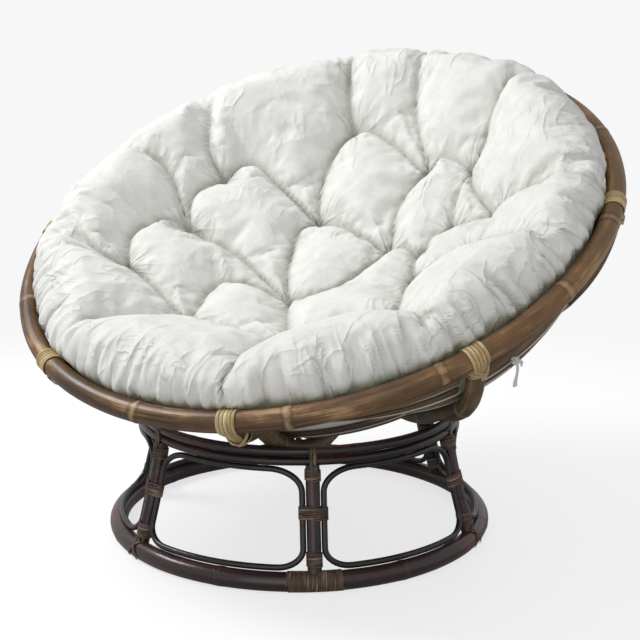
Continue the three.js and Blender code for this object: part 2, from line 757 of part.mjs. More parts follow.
// Two runs of rows as one closed skin. The second one's rows have half as many points, so each
// point there takes three triangles between the runs.
function joinedSkins(first, second) {
  const [many, few] = [first[0].length, second[0].length];
  const index = [];
  const spans = (rows, start, across) => {
    for (let row = 0; row + 1 < rows; row += 1) {
      for (let column = 0; column < across; column += 1) {
        const corner = start + row * across + column;
        const beside = start + row * across + (column + 1) % across;
        index.push(corner, beside, beside + across, corner, beside + across, corner + across);
      }
    }
  };
  const secondStart = first.length * many;
  spans(first.length, 0, many);
  spans(second.length, secondStart, few);
  const lastFirst = secondStart - many;
  for (let column = 0; column < few; column += 1) {
    const [low, lowNext] = [column, (column + 1) % few].map((place) => secondStart + place);
    const [left, middle, right] = [0, 1, 2].map((step) => lastFirst + (2 * column + step) % many);
    index.push(left, middle, low, middle, lowNext, low, middle, right, lowNext);
  }
  for (let column = 1; column < many - 1; column += 1) {
    index.push(0, column + 1, column);
  }
  const last = secondStart + (second.length - 1) * few;
  for (let column = 1; column < few - 1; column += 1) {
    index.push(last, last + column, last + column + 1);
  }
  const positions = [...first, ...second].flat().flatMap((point) => [point.x, point.y, point.z]);
  const geometry = new THREE.BufferGeometry();
  geometry.setAttribute('position', new THREE.Float32BufferAttribute(positions, 3));
  geometry.setIndex(index);
  return facingOut(geometry);
}

// The knot sits on the outer face of the second band, and the tail hangs from it
function tieGeometry() {
  const around = bowlAngles(bowlRibSteps)[tieRibIndex * bowlRibSteps + 1];
  const angle = bandAngles[1];
  const knot = bowlPoint(angle, around, ribFace - tie.knotRadius);
  const ball = new THREE.SphereGeometry(tie.knotRadius, middleSideCount, thinSideCount);
  ball.translate(knot.x, knot.y, knot.z);
  const fall = new THREE.Vector3(0, -Math.sin(tilt), -Math.cos(tilt));
  const flare = shares(tieSteps).map((share) => ({
    place: knot.clone().addScaledVector(fall, share * tie.tail),
    halfWidth: tie.width / 2 * (1 + share * (tieSpreadShare - 1)),
  }));
  const side = polar(1, around + Math.PI / 2, 0);
  const normal = polar(1, around, 0);
  const corners = [[-1, -1], [1, -1], [1, 1], [-1, 1]];
  const rows = flare.map(({ place, halfWidth }) => corners.map(([across, lift]) => (
    place.clone()
      .addScaledVector(side, across * halfWidth)
      .addScaledVector(normal, lift * tie.thickness / 2)
  )));
  return toGeometry(toSolid(looseToClosed(ball)).add(toSolid(skin(rows, false))));
}

function bowl() {
  const group = new THREE.Group();
  group.add(named('rim', rimPole(rim.poleRadius), cane));
  group.add(named('bottom_ring', bottomRingGeometry(), ribCane));
  ribDegrees.map(radians).forEach((around, index) => {
    group.add(named(`rib_${index + 1}`, ribGeometry(around), ribCane));
    group.add(named(`rib_lashing_${index + 1}`, ribLashingGeometry(around), peelPale));
  });
  bandAngles.forEach((angle, index) => {
    group.add(named(`band_${index + 1}`, bandGeometry(angle), splitCane));
  });
  group.add(named('cushion', cushionGeometry(), cotton));
  group.add(named('cushion_tie', tieGeometry(), cotton));
  group.position.set(0, standPlace, centreHeight);
  group.rotation.x = tilt;
  return group;
}

const chair = new THREE.Group();
chair.add(stand(), bowl());
console.log(`least air between two turns of peel: ${Math.min(...windingAirs).toFixed(2)} mm`);

export default chair;
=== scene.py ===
import math

import bpy
import numpy as np
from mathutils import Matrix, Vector


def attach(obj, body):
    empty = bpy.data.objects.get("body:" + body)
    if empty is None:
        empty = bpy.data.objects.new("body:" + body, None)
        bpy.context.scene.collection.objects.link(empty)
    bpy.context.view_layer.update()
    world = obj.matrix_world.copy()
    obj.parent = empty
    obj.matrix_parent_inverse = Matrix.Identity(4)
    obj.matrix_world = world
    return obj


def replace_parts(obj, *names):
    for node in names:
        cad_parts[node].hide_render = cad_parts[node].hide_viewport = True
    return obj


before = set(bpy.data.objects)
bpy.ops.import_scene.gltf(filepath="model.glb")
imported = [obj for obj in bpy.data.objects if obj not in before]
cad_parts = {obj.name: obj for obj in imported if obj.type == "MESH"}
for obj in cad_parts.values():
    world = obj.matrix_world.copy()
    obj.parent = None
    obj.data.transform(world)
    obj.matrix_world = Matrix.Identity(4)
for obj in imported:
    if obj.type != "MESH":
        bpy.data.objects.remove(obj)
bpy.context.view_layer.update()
scene = bpy.context.scene
scene.view_settings.view_transform = "Standard"

# Sizes shared with the solids
clearance = 0.0003
tilt = math.radians(27.6)
rim = {
    "radius": 0.508, "pole": 0.0165, "below": 0.110, "lightest": 100,
    "knots": (307, 355.5, 23.5, 49, 76, 126.5, 96, 172, 214, 255, 285),
}
rib = {
    "pole": 0.0142, "end": 0.118, "inset": 0.0508,
    "degrees": (13.2, 55.4, 101.9, 147, 192, 237, 282, 328.7),
}
bottomRing = {"radius": 0.150, "pole": 0.010}
band = {"width": 0.023, "thickness": 0.0036, "angles": (72.6, 67, 61.2, 53, 43, 31.5)}
floorRing = {"radius": 0.314, "pole": 0.0155, "height": 0.0144}
underRing = {"radius": 0.2694, "pole": 0.007, "height": 0.1947}
seatRing = {"radius": 0.2694, "pole": 0.0078, "height": 0.2105}
# The posts' low tone paints them darker than the rings, as painted shade
upright = {"pole": 0.0112, "first": 35.4, "count": 6, "flare": 1.2, "sunk": 0.6, "toneAndPaintedLight": 0.35}
loop = {"pole": 0.005, "top": (0.052, 0.036), "bottom": (0.042, 0.028)}
ribFace = rib["pole"] + 0.0012  # with the little that a rib swells at its rings

rimReach = math.hypot(rim["radius"], rim["below"])
rimAngle = math.atan2(rim["radius"], rim["below"])
supportReach = rimReach - rib["inset"]
seatReach = supportReach + rib["pole"] + clearance + seatRing["pole"]
seatAngle = math.asin(seatRing["radius"] / seatReach)
centreHeight = seatRing["height"] + math.sqrt(seatReach ** 2 - seatRing["radius"] ** 2)
standPlace = -rim["below"] * math.sin(tilt)
standMove = np.array([0, standPlace, 0])
bowlMove = np.array([0, standPlace, centreHeight])
bowlTurn = np.array([
    [1, 0, 0],
    [0, math.cos(tilt), -math.sin(tilt)],
    [0, math.sin(tilt), math.cos(tilt)],
])


def polar(radius, around, height):
    return np.array([radius * math.sin(around), -radius * math.cos(around), height])


def unit(vector):
    vector = np.asarray(vector, float)
    return vector / np.linalg.norm(vector, axis=-1, keepdims=True)


def fromBowl(points):
    return np.asarray(points) @ bowlTurn.T + bowlMove


def fromStand(points):
    return np.asarray(points) + standMove


# Materials: a small layer over shader nodes, so that fields add and multiply like numbers
class Field:
    def __init__(self, shader, socket):
        self.shader = shader
        self.socket = socket

    def maths(self, operation, *others):
        return self.shader.node("ShaderNodeMath", {"operation": operation}, [self, *others])

    def __add__(self, other):
        return self.maths("ADD", other)

    def __sub__(self, other):
        return self.maths("SUBTRACT", other)

    def __mul__(self, other):
        return self.maths("MULTIPLY", other)

    def __pow__(self, other):
        return self.maths("POWER", other)

    def __neg__(self):
        return self.maths("MULTIPLY", -1)

    def __rsub__(self, other):
        return -self + other

    __radd__ = __add__
    __rmul__ = __mul__

    # From 0 at the low value to 1 at the high one, held in between
    def ramp(self, low, high):
        settings = {"clamp": True, "interpolation_type": "SMOOTHSTEP"}
        inputs = {"Value": self, "From Min": low, "From Max": high}
        return self.shader.node("ShaderNodeMapRange", settings, inputs)


class Shader:
    def __init__(self, name):
        self.material = bpy.data.materials.new(name)
        self.material.use_nodes = True
        self.tree = self.material.node_tree
        self.surface = self.tree.nodes["Principled BSDF"]

    def node(self, kind, settings, inputs, output=0):
        made = self.tree.nodes.new(kind)
        for key, value in settings.items():
            setattr(made, key, value)
        named = inputs.items() if isinstance(inputs, dict) else enumerate(inputs)
        for key, value in named:
            self.feed(made.inputs[key], value)
        return Field(self, made.outputs[output])

    def feed(self, socket, value):
        if isinstance(value, Field):
            self.tree.links.new(value.socket, socket)
        elif value is not None:
            socket.default_value = value

    def attribute(self, name, output="Fac"):
        return self.node("ShaderNodeAttribute", {"attribute_name": name}, {}, output)

    def spot(self):
        return self.node("ShaderNodeTexCoord", {}, {}, "Object")

    def stretch(self, vector, scale):
        return self.node("ShaderNodeVectorMath", {"operation": "MULTIPLY"}, [vector, scale])

    def noise(self, vector, scale, detail=3, roughness=0.55, output=0):
        inputs = {"Vector": vector, "Scale": scale, "Detail": detail, "Roughness": roughness}
        return self.node("ShaderNodeTexNoise", {}, inputs, output)

    def mix(self, share, low, high):
        inputs = {0: share, 6: colour(low), 7: colour(high)}
        return self.node("ShaderNodeMix", {"data_type": "RGBA"}, inputs, 2)

    def bump(self, height, distance, strength=1.0, normal=None):
        inputs = {"Height": height, "Distance": distance, "Strength": strength, "Normal": normal}
        return self.node("ShaderNodeBump", {}, inputs)

    def set(self, **values):
        for key, value in values.items():
            self.feed(self.surface.inputs[key.replace("_", " ")], value)


# A colour given as a hex text comes back linear; a field stays as it is
def colour(value):
    if isinstance(value, Field):
        return value
    parts = [int(value[place:place + 2], 16) / 255 for place in (0, 2, 4)]
    linear = [part / 12.92 if part <= 0.04045 else ((part + 0.055) / 1.055) ** 2.4 for part in parts]
    return (*linear, 1)


# Cane: streaks along the pole, mottling, and the paler rings where leaves grew. Each pole carries
# its own place along and around in metres as "cane", and its rings as "knot".
def caneMaterial(name, look):
    shader = Shader(name)
    place = shader.attribute("cane", "Vector")
    knot = shader.attribute("knot") * (0.55 + shader.noise(place, 60, 3).ramp(0.3, 0.7) * 0.6)
    streak = shader.noise(shader.stretch(place, (1, 1, 0.045)), look["streaks"], 4, 0.6)
    mottle = shader.noise(shader.stretch(place, (1, 1, 0.3)), look["mottles"], 4, 0.62)
    fine = shader.noise(shader.stretch(place, (1, 1, 0.12)), 900, 2, 0.5)
    ground = shader.mix(mottle.ramp(0.34, 0.68), look["dark"], look["middle"])
    ground = shader.mix(streak.ramp(0.5, 0.78) * look["streakShare"], ground, look["light"])
    worn = (mottle * 0.6 + streak * 0.4).ramp(look["wornFrom"], look["wornFrom"] + 0.09)
    ground = shader.mix(worn * look["wornShare"], ground, look["worn"])
    ground = shader.mix(knot.ramp(0.25, 0.9) * look["knotShare"], ground, look["knot"])
    # Each pole's tone lightens or darkens it all over. On the strips and the strands of peel it differs at
    # random, and along the rim it grows lighter towards one side. On the stand, whose poles are all one
    # lacquer, it is painted light: the floor ring is lightest, as a painted reflection of the bright floor,
    # and the posts are darkest, as painted shade.
    toneAndPaintedLight = shader.attribute("toneAndPaintedLight")
    ground = shader.mix((toneAndPaintedLight - 0.5).ramp(0, 0.5) * 0.5, ground, look["light"])
    ground = shader.mix((0.5 - toneAndPaintedLight).ramp(0, 0.5) * 0.6, ground, look["dark"])
    edge = knot.ramp(0.02, 0.16) * (1 - knot.ramp(0.2, 0.5))
    ground = shader.mix(edge * 0.5 * look["knotShare"], ground, look["dark"])
    height = streak * 0.5 + fine * 0.25 + mottle * 0.6 - edge * 0.5
    shader.set(Base_Color=ground, Normal=shader.bump(height, look["bump"]))
    shader.set(Roughness=look["rough"] + (mottle - 0.5) * 0.35 + knot * 0.1)
    shader.surface.inputs["Specular IOR Level"].default_value = look["gloss"]
    shader.surface.inputs["Coat Weight"].default_value = look["coat"]
    shader.surface.inputs["Coat Roughness"].default_value = look["coatRough"]
    return shader.material


rimLook = {
    "dark": "452f1c", "middle": "7d5936", "light": "a17c4f", "streakShare": 0.75,
    "worn": "bd986a", "wornShare": 0.75, "wornFrom": 0.52, "knot": "bf9e79", "knotShare": 0.75,
    "streaks": 120, "mottles": 26, "bump": 0.0009, "rough": 0.42, "coat": 0.2, "coatRough": 0.3,
    "gloss": 0.4,
}
ribLook = {
    **rimLook, "dark": "4b3d29", "middle": "765f3f", "light": "927a52", "worn": "a88f66",
    "knot": "b39c74", "wornShare": 0.4, "rough": 0.5,
}
lacquerLook = {
    "dark": "120c0f", "middle": "24171a", "light": "5e403e", "streakShare": 0.4,
    "worn": "6b3328", "wornShare": 0.9, "wornFrom": 0.5, "knot": "4a2a24", "knotShare": 0.5,
    "streaks": 90, "mottles": 17, "bump": 0.0007, "rough": 0.34, "coat": 0.5, "coatRough": 0.1,
    "gloss": 0.45,
}
thinLook = {
    **lacquerLook, "dark": "0f0e14", "middle": "1b1920", "light": "332c33", "worn": "432420",
    "wornShare": 0.5,
}
splitLook = {
    **rimLook, "dark": "543f29", "middle": "816545", "light": "a3875e", "worn": "b99c70",
    "knotShare": 0.0, "rough": 0.62, "coat": 0.0, "streaks": 200,
}
paleLook = {
    **rimLook, "dark": "a48a5c", "middle": "cfb482", "light": "e6d2a6", "worn": "ecdcb6",
    "knotShare": 0.0, "streakShare": 0.8, "rough": 0.5, "coat": 0.1, "streaks": 420, "mottles": 60,
    "bump": 0.0004,
}
darkPeelLook = {
    **paleLook, "dark": "43342d", "middle": "745e4f", "light": "9c8672", "worn": "b09a83",
    "streakShare": 0.6, "rough": 0.6,
}


# Cotton: an even weave, folds that run out from the tufts, long drag lines over the pillows, and a
# greener grey of painted shade down in the creases
def cottonMaterial():
    shader = Shader("cotton")
    spot = shader.spot()

    def ridges(vector, scale, detail, sharpness):
        raised = 1 - (shader.noise(vector, scale, detail, 0.5) * 2 - 1).maths("ABSOLUTE")
        return raised ** sharpness

    pull = shader.attribute("pull", "Vector")
    held = shader.attribute("held")
    edge = shader.attribute("edge")
    warp = shader.noise(spot, 5, 2, 0.5, 1)
    leaned = shader.node("ShaderNodeVectorMath", {"operation": "MULTIPLY_ADD"}, [warp, (0.1, 0.1, 0.1), spot])
    drags = ridges(shader.stretch(leaned, (1, 0.3, 0.45)), 22, 2, 9)
    wrinkles = ridges(shader.stretch(leaned, (0.4, 1, 0.5)), 38, 2, 7)
    where = shader.noise(spot, 11, 2).ramp(0.45, 0.62)
    radial = ridges(pull, 1.7, 2, 4)
    gathers = ridges(shader.attribute("seam", "Vector"), 1, 2, 8) * edge
    weave = shader.noise(spot, 1400, 2, 0.6)
    # Painted shade: the colour goes to a greenish grey wherever ambient occlusion finds the cloth closed in,
    # down in the creases and tufts
    near = shader.node("ShaderNodeAmbientOcclusion", {"samples": 8}, {"Distance": 0.04}, "AO")
    shade = (1 - near).ramp(0.15, 0.75)
    ground = shader.mix(shader.noise(spot, 30, 4).ramp(0.35, 0.7), "e6e6e2", "efefec")
    ground = shader.mix(shade * 0.9, ground, "93947a")
    # A thin darker line of painted shade along the middle of each crease
    ground = shader.mix(shader.attribute("creaseShade") * 0.4, ground, "7f7f68")
    wrinkled = wrinkles * (0.45 - where * 0.45) * (0.35 + edge)
    height = drags * where * 0.5 + wrinkled + radial * held + gathers * 0.9
    soft = shader.bump(height, 0.006, 0.8)
    shader.set(Base_Color=ground, Normal=shader.bump(weave, 0.0004, 0.4, soft))
    shader.surface.inputs["Roughness"].default_value = 0.92
    shader.surface.inputs["Specular IOR Level"].default_value = 0.25
    shader.surface.inputs["Sheen Weight"].default_value = 0.15
    return shader.material


materials = {
    "cotton": cottonMaterial(),
    "lacquered_cane": caneMaterial("lacqueredCane", lacquerLook),
    "lacquered_thin_cane": caneMaterial("lacqueredThinCane", thinLook),
    "dark_peel": caneMaterial("darkPeel", darkPeelLook),
    "rim_cane": caneMaterial("rimCane", rimLook),
    "rib_cane": caneMaterial("ribCane", ribLook),
    "split_cane": caneMaterial("splitCane", splitLook),
    "pale_peel": caneMaterial("palePeel", paleLook),
}


# Sweeps: a node tree that draws a closed profile along a path whose points carry their radius, the
# way their outer face looks, and their place along the cane
def sweepTree():
    tree = bpy.data.node_groups.new("sweep", "GeometryNodeTree")
    for name, way, kind in (
        ("Geometry", "INPUT", "Geometry"), ("Sides", "INPUT", "Int"), ("Flatness", "INPUT", "Float"),
        ("Material", "INPUT", "Material"), ("Geometry", "OUTPUT", "Geometry"),
    ):
        tree.interface.new_socket(name, in_out=way, socket_type="NodeSocket" + kind)

    def add(kind, output, inputs, **settings):
        made = tree.nodes.new(kind)
        for key, value in settings.items():
            setattr(made, key, value)
        for key, value in inputs.items():
            if isinstance(value, bpy.types.NodeSocket):
                tree.links.new(value, made.inputs[key])
            else:
                made.inputs[key].default_value = value
        return made.outputs[output]

    def read(name, kind="FLOAT"):
        return add("GeometryNodeInputNamedAttribute", "Attribute", {"Name": name}, data_type=kind)

    def store(shape, name, value):
        inputs = {"Geometry": shape, "Name": name, "Value": value}
        settings = {"data_type": "FLOAT_VECTOR", "domain": "POINT"}
        return add("GeometryNodeStoreNamedAttribute", "Geometry", inputs, **settings)

    given = tree.nodes.new("NodeGroupInput").outputs
    size = read("size")
    line = add("GeometryNodeMeshToCurve", "Curve", {"Mesh": given["Geometry"]})
    facing = {"Curve": line, "Normal": read("lie", "FLOAT_VECTOR")}
    turned = add("GeometryNodeSetCurveNormal", "Curve", facing, mode="FREE")
    ring = add("GeometryNodeCurvePrimitiveCircle", "Curve", {"Resolution": given["Sides"], "Radius": 1.0})
    kept = store(ring, "round", add("GeometryNodeInputPosition", "Position", {}))
    flat = add("ShaderNodeCombineXYZ", "Vector", {"X": given["Flatness"], "Y": 1.0, "Z": 1.0})
    pressed = add("GeometryNodeTransform", "Geometry", {"Geometry": kept, "Scale": flat})
    drawn = {"Curve": turned, "Profile Curve": pressed, "Scale": size, "Fill Caps": True}
    swept = add("GeometryNodeCurveToMesh", "Mesh", drawn)
    # Where a spot lies across the pole, in metres, and how far along it
    around = {"Vector": read("round", "FLOAT_VECTOR"), "Scale": size}
    across = add("ShaderNodeVectorMath", "Vector", around, operation="SCALE")
    along = add("ShaderNodeCombineXYZ", "Vector", {"Z": read("along")})
    cane = add("ShaderNodeVectorMath", "Vector", {0: across, 1: along}, operation="ADD")
    smooth = add("GeometryNodeSetShadeSmooth", "Geometry", {"Geometry": store(swept, "cane", cane)})
    whole = add("GeometryNodeRealizeInstances", "Geometry", {"Geometry": smooth})
    dressed = {"Geometry": whole, "Material": given["Material"]}
    shown = add("GeometryNodeSetMaterial", "Geometry", dressed)
    tree.links.new(shown, tree.nodes.new("NodeGroupOutput").inputs["Geometry"])
    return tree


sweeps = sweepTree()


def linked(name, mesh):
    made = bpy.data.objects.new(name, mesh)
    scene.collection.objects.link(made)
    return made


# Numbers or vectors kept on a mesh's points, for the materials and the sweep to read
def keepOn(mesh, key, rows):
    rows = np.asarray(rows, np.float32)
    kind, field = ("FLOAT", "value") if rows.ndim == 1 else ("FLOAT_VECTOR", "vector")
    mesh.attributes.new(key, kind, "POINT").data.foreach_set(field, rows.ravel())


def bake(guide, name):
    shape = bpy.data.meshes.new_from_object(guide.evaluated_get(bpy.context.evaluated_depsgraph_get()))
    bpy.data.objects.remove(guide)
    shape.name = name
    return linked(name, shape)


# The stand's lowest poles and straps lie flat on the floor
def layOnFloor(made):
    places = np.zeros(len(made.data.vertices) * 3)
    made.data.vertices.foreach_get("co", places)
    places[2::3] = np.maximum(places[2::3], 0)
    made.data.vertices.foreach_set("co", places)
    made.data.update()


# One or more strands, each a dictionary of points, faces (the way its outer side looks), sizes (its
# radius), along and knots. A pole is round; a strand of peel is pressed flat.
def sweep(name, strands, slotName, body, sides=24, flatness=1.0):
    points, edges, values = [], [], {"lie": [], "size": [], "along": [], "knot": [], "toneAndPaintedLight": []}
    for strand in strands:
        start = len(points)
        count = len(strand["points"])
        closed = strand.get("closed", False)
        points += [tuple(point) for point in strand["points"]]
        edges += [(start + step, start + step + 1) for step in range(count - 1)]
        if closed:
            edges.append((start + count - 1, start))
        values["lie"] += [tuple(face) for face in strand["faces"]]
        values["size"] += list(np.broadcast_to(strand["sizes"], count))
        steps = np.linalg.norm(np.diff(np.array(strand["points"]), axis=0), axis=1)
        values["along"] += list(strand.get("start", 0) + np.concatenate([[0], np.cumsum(steps)]))
        values["knot"] += list(np.broadcast_to(strand.get("knots", 0.0), count))
        values["toneAndPaintedLight"] += list(np.broadcast_to(strand.get("toneAndPaintedLight", 0.5), count))
    mesh = bpy.data.meshes.new(name)
    mesh.from_pydata(points, edges, [])
    for key, rows in values.items():
        keepOn(mesh, key, rows)
    guide = linked(name + "Guide", mesh)
    tool = guide.modifiers.new("sweep", "NODES")
    tool.node_group = sweeps
    given = {item.name: item.identifier for item in sweeps.interface.items_tree if item.in_out == "INPUT"}
    tool[given["Sides"]] = sides
    tool[given["Flatness"]] = flatness
    tool[given["Material"]] = materials[slotName]
    made = bake(guide, name)
    if body == "stand":
        layOnFloor(made)
    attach(made, body)
    return made


# Soft bumps along a pole where it grew leaves: 1 on a ring, falling to 0 within its width
def knotsAt(lengths, places, width=0.006):
    lengths = np.asarray(lengths)[:, None]
    return np.exp(-((lengths - np.asarray(places)[None, :]) / width) ** 2).max(axis=1)


def lengthsOf(points):
    return np.concatenate([[0], np.cumsum(np.linalg.norm(np.diff(points, axis=0), axis=1))])


# A cane pole: its radius swells a little at its rings
def canePole(points, faces, radius, knotPlaces, swell=0.05, wobble=0.0):
    points = np.asarray(points)
    lengths = lengthsOf(points)
    knots = knotsAt(lengths, knotPlaces) if len(knotPlaces) else np.zeros(len(points))
    sizes = radius * (1 + swell * knots + wobble * np.sin(lengths * 31) * np.sin(lengths * 12.7))
    return {"points": points, "faces": faces, "sizes": sizes, "knots": knots}


# Stand
def uprightRadius(height):
    share = np.clip((underRing["height"] - height) / (underRing["height"] - floorRing["height"]), 0, 1)
    return underRing["radius"] + (floorRing["radius"] - underRing["radius"]) * share ** upright["flare"]


uprightArounds = [math.radians(upright["first"]) + index * math.pi / 3 for index in range(upright["count"])]
ringStart = math.radians(150)


# Lengths along a ring that starts at the back, from angles in degrees
def alongRing(radius, *degrees):
    return [radius * ((math.radians(angle) - ringStart) % (2 * math.pi)) for angle in degrees]


def ringPath(radius, height, count=181):
    arounds = ringStart + np.linspace(0, 2 * math.pi, count)
    points = np.array([polar(radius, around, height) for around in arounds])
    faces = np.array([polar(1, around, 0) for around in arounds])
    return points, faces


def buildRing(name, node, sizes, toneAndPaintedLight, knotDegrees):
    points, faces = ringPath(sizes["radius"], sizes["height"])
    knots = alongRing(sizes["radius"], *knotDegrees)
    pole = canePole(fromStand(points), faces, sizes["pole"], knots, 0.04, 0.01)
    pole["toneAndPaintedLight"] = toneAndPaintedLight
    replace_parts(sweep(name, [pole], "lacquered_cane", "stand"), node)


def postPlace(around, height):
    return fromStand(polar(uprightRadius(height), around, height))


def postHeading(around, height):
    return unit(postPlace(around, height + 0.002) - postPlace(around, height - 0.002))


# The outline of peel drawn tight round poles, each given as across, out and radius: points and the
# way they face, evenly spaced, in a plane square to the poles
def tightOutline(poles, air, count):
    turns = np.linspace(0, 2 * math.pi, 361)
    ways = np.stack([np.sin(turns), np.cos(turns)], -1)
    reaches = np.array([[across, out] @ ways.T + radius for across, out, radius in poles])
    chosen = np.argmax(reaches, axis=0)
    centres = np.array([[across, out] for across, out, _ in poles])[chosen]
    radii = np.array([radius for *_, radius in poles])[chosen] + air
    outline = centres + ways * radii[:, None]
    lengths = lengthsOf(outline)
    even = np.linspace(0, lengths[-1], count, endpoint=False)
    points = np.stack([np.interp(even, lengths, outline[:, axis]) for axis in (0, 1)], -1)
    run = np.roll(points, -1, axis=0) - np.roll(points, 1, axis=0)
    return points, unit(np.stack([-run[:, 1], run[:, 0]], -1))


# Turns of one strand round poles that lie side by side
def windRound(place, heading, outward, poles, look, seed):
    maker = np.random.default_rng(seed)
    side = unit(np.cross(heading, outward))
    out = unit(np.cross(side, heading))
    count = look.get("steps", 40)
    points, faces = tightOutline(poles, clearance + look["thickness"] / 2, count)
    steps = np.arange(look["turns"] * count + 1)
    marks = np.arange(look["turns"] + 2)
    uneven = np.interp(steps / count, marks, maker.normal(0, 0.06, len(marks)))
    heights = (steps / count - look["turns"] / 2 + uneven) * look["pitch"]
    lift = np.interp(steps / count, marks, maker.uniform(0, 0.0003, len(marks)))
    flat, facing = points[steps % count], faces[steps % count]
    flat = flat + facing * lift[:, None]
    path = place + flat[:, :1] * side + flat[:, 1:] * out + heights[:, None] * heading
    looks = facing[:, :1] * side + facing[:, 1:] * out
    return {"points": path, "faces": looks, "sizes": look["width"] / 2,
            "toneAndPaintedLight": maker.uniform(0.3, 0.7), "start": maker.uniform(0, 9)}


def flatSweep(name, strands, look, slotName, body):
    return sweep(name, strands, slotName, body, 10, look["thickness"] / look["width"])


# Windings of peel: "height" is where they sit on an upright
waistLook = {"height": 0.1156, "turns": 6, "pitch": 0.0034, "width": 0.0032, "thickness": 0.0013, "steps": 72}
footLook = {"height": 0.047, "turns": 7, "pitch": 0.0032, "width": 0.0031, "thickness": 0.0013}
headLook = {"height": 0.1735, "turns": 5, "pitch": 0.0034, "width": 0.0033, "thickness": 0.0013}
spliceLook = {"turns": 25, "pitch": 0.0034, "width": 0.0033, "thickness": 0.0014, "steps": 24}
# Straps that cross at an upright's foot and lie side by side at its head
strapLook = {
    "width": 0.0052, "thickness": 0.0011, "air": 0.0012, "crossing": 0.0006,
    "footTurns": (100, -35), "footAside": (-0.010, 0.012), "footStart": 0.037, "footOut": 0.0025,
    "headStart": 0.182, "headOut": 0.0018, "headAside": 0.0033 / 0.27,
}
loopOffset = upright["pole"] + 0.0006 + loop["pole"]


# A loop of thin cane fills the field between two uprights: its outline as shares across the field
# and heights, laid on the flared shape that the uprights stand on
def loopPath(middle):
    reach = floorRing["pole"] + clearance + loop["pole"]
    low = floorRing["height"] + reach * 0.985
    high = underRing["height"] - (underRing["pole"] + clearance + loop["pole"])
    halfField = math.pi / upright["count"]
    outline = []

    def halfWidth(height):
        return uprightRadius(height) * halfField - loopOffset

    for level, (wide, tall), way, start, rise in (
        (low, loop["bottom"], 1, -90, 1), (high, loop["top"], 1, 0, -1),
        (high, loop["top"], -1, 90, -1), (low, loop["bottom"], -1, 180, 1),
    ):
        for degrees in np.linspace(start, start + 90, 13):
            turn = math.radians(degrees)
            height = level + rise * tall + tall * math.sin(turn)
            across = halfWidth(height) - wide + wide * abs(math.cos(turn))
            outline.append((way * across / halfWidth(height), height))
    outline.append(outline[0])
    spots = []
    for (side, height), (nextSide, nextHeight) in zip(outline, outline[1:]):
        gap = math.hypot((nextSide - side) * 0.12, nextHeight - height)
        for share in np.linspace(0, 1, max(int(gap / 0.004), 1), endpoint=False):
            spots.append((side + share * (nextSide - side), height + share * (nextHeight - height)))
    points, faces = [], []
    for side, height in spots:
        radius = uprightRadius(height)
        angle = middle + side * (halfField - math.asin(loopOffset / radius))
        points.append(polar(radius, angle, height))
        faces.append(polar(1, angle, 0))
    return fromStand(points), np.array(faces)


# Straps of peel laid crosswise from an upright's foot down over the floor ring
def footStraps(around, seed):
    maker = np.random.default_rng(seed)
    look = strapLook
    turns = np.radians(np.linspace(*look["footTurns"], 22))
    strands = []
    for way in (-1, 1):
        reach = floorRing["pole"] + clearance + look["air"] + look["crossing"] * (way > 0)
        first, last = look["footAside"]
        aside = way * np.linspace(first, last + maker.uniform(0, 0.003), len(turns)) / floorRing["radius"]
        points, faces = [], []
        for turn, shift in zip(turns, aside):
            face = polar(math.cos(turn), around + shift, math.sin(turn))
            points.append(polar(floorRing["radius"], around + shift, floorRing["height"]) + face * reach)
            faces.append(face)
        out = uprightRadius(0.04) + upright["pole"] + look["footOut"]
        start = polar(out, around - way * 0.012, look["footStart"])
        points = [start, *points[4:]]
        faces = [polar(1, around, 0), *faces[4:]]
        strands.append({"points": fromStand(points), "faces": faces, "sizes": look["width"] / 2,
                        "toneAndPaintedLight": 0.45, "start": way * 0.7})
    return strands


# A strap that ties an upright's head over the outer faces of both upper rings
def headStrap(around):
    look = strapLook
    strands = []
    for way in (-1, 1):
        rows = []
        for height, ring in (
            (look["headStart"], None), (underRing["height"], underRing),
            (seatRing["height"] - 0.001, seatRing), (seatRing["height"] + 0.007, seatRing),
        ):
            radius = uprightRadius(height) + upright["pole"] + look["headOut"]
            if ring:
                turn = math.asin(np.clip((height - ring["height"]) / ring["pole"], -1, 0.9))
                radius = ring["radius"] + (ring["pole"] + look["air"]) * math.cos(turn)
            rows.append(polar(radius, around + way * look["headAside"], height))
        points = curveThrough(rows, 6)
        strands.append({"points": fromStand(points), "faces": [polar(1, around, 0.15)] * len(points),
                        "sizes": look["width"] / 2, "toneAndPaintedLight": 0.35 + 0.1 * way, "start": way * 1.3})
    return strands


# Turns of peel round the floor ring, over its splice under the front foot
def spliceStrand():
    look = spliceLook
    half = look["turns"] * look["pitch"] / 2 / floorRing["radius"]
    reach = floorRing["pole"] + clearance + look["thickness"] / 2
    points, faces = [], []
    for step, share in enumerate(np.linspace(-1, 1, look["turns"] * look["steps"])):
        around = uprightArounds[0] + share * half
        turn = step / look["steps"] * 2 * math.pi
        face = polar(math.cos(turn), around, math.sin(turn))
        spot = polar(floorRing["radius"], around, floorRing["height"]) + face * reach
        spot[2] = max(spot[2], look["thickness"] / 2 + 0.0001)
        points.append(spot)
        faces.append(face)
    return {"points": fromStand(points), "faces": faces, "sizes": look["width"] / 2, "toneAndPaintedLight": 0.6}


def buildPost(index, around):
    place = index + 1
    low = floorRing["height"] + upright["sunk"] * floorRing["pole"]
    high = underRing["height"] - upright["sunk"] * underRing["pole"]
    points = np.array([postPlace(around, height) for height in np.linspace(low, high, 40)])
    faces = np.array([polar(1, around, 0)] * len(points))
    pole = canePole(points, faces, upright["pole"] * 0.99, (0.02 + 0.05 * (index % 3),), 0.03)
    pole["toneAndPaintedLight"] = upright["toneAndPaintedLight"]
    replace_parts(sweep(f"post_{place}", [pole], "lacquered_cane", "stand"), f"upright_{place}")


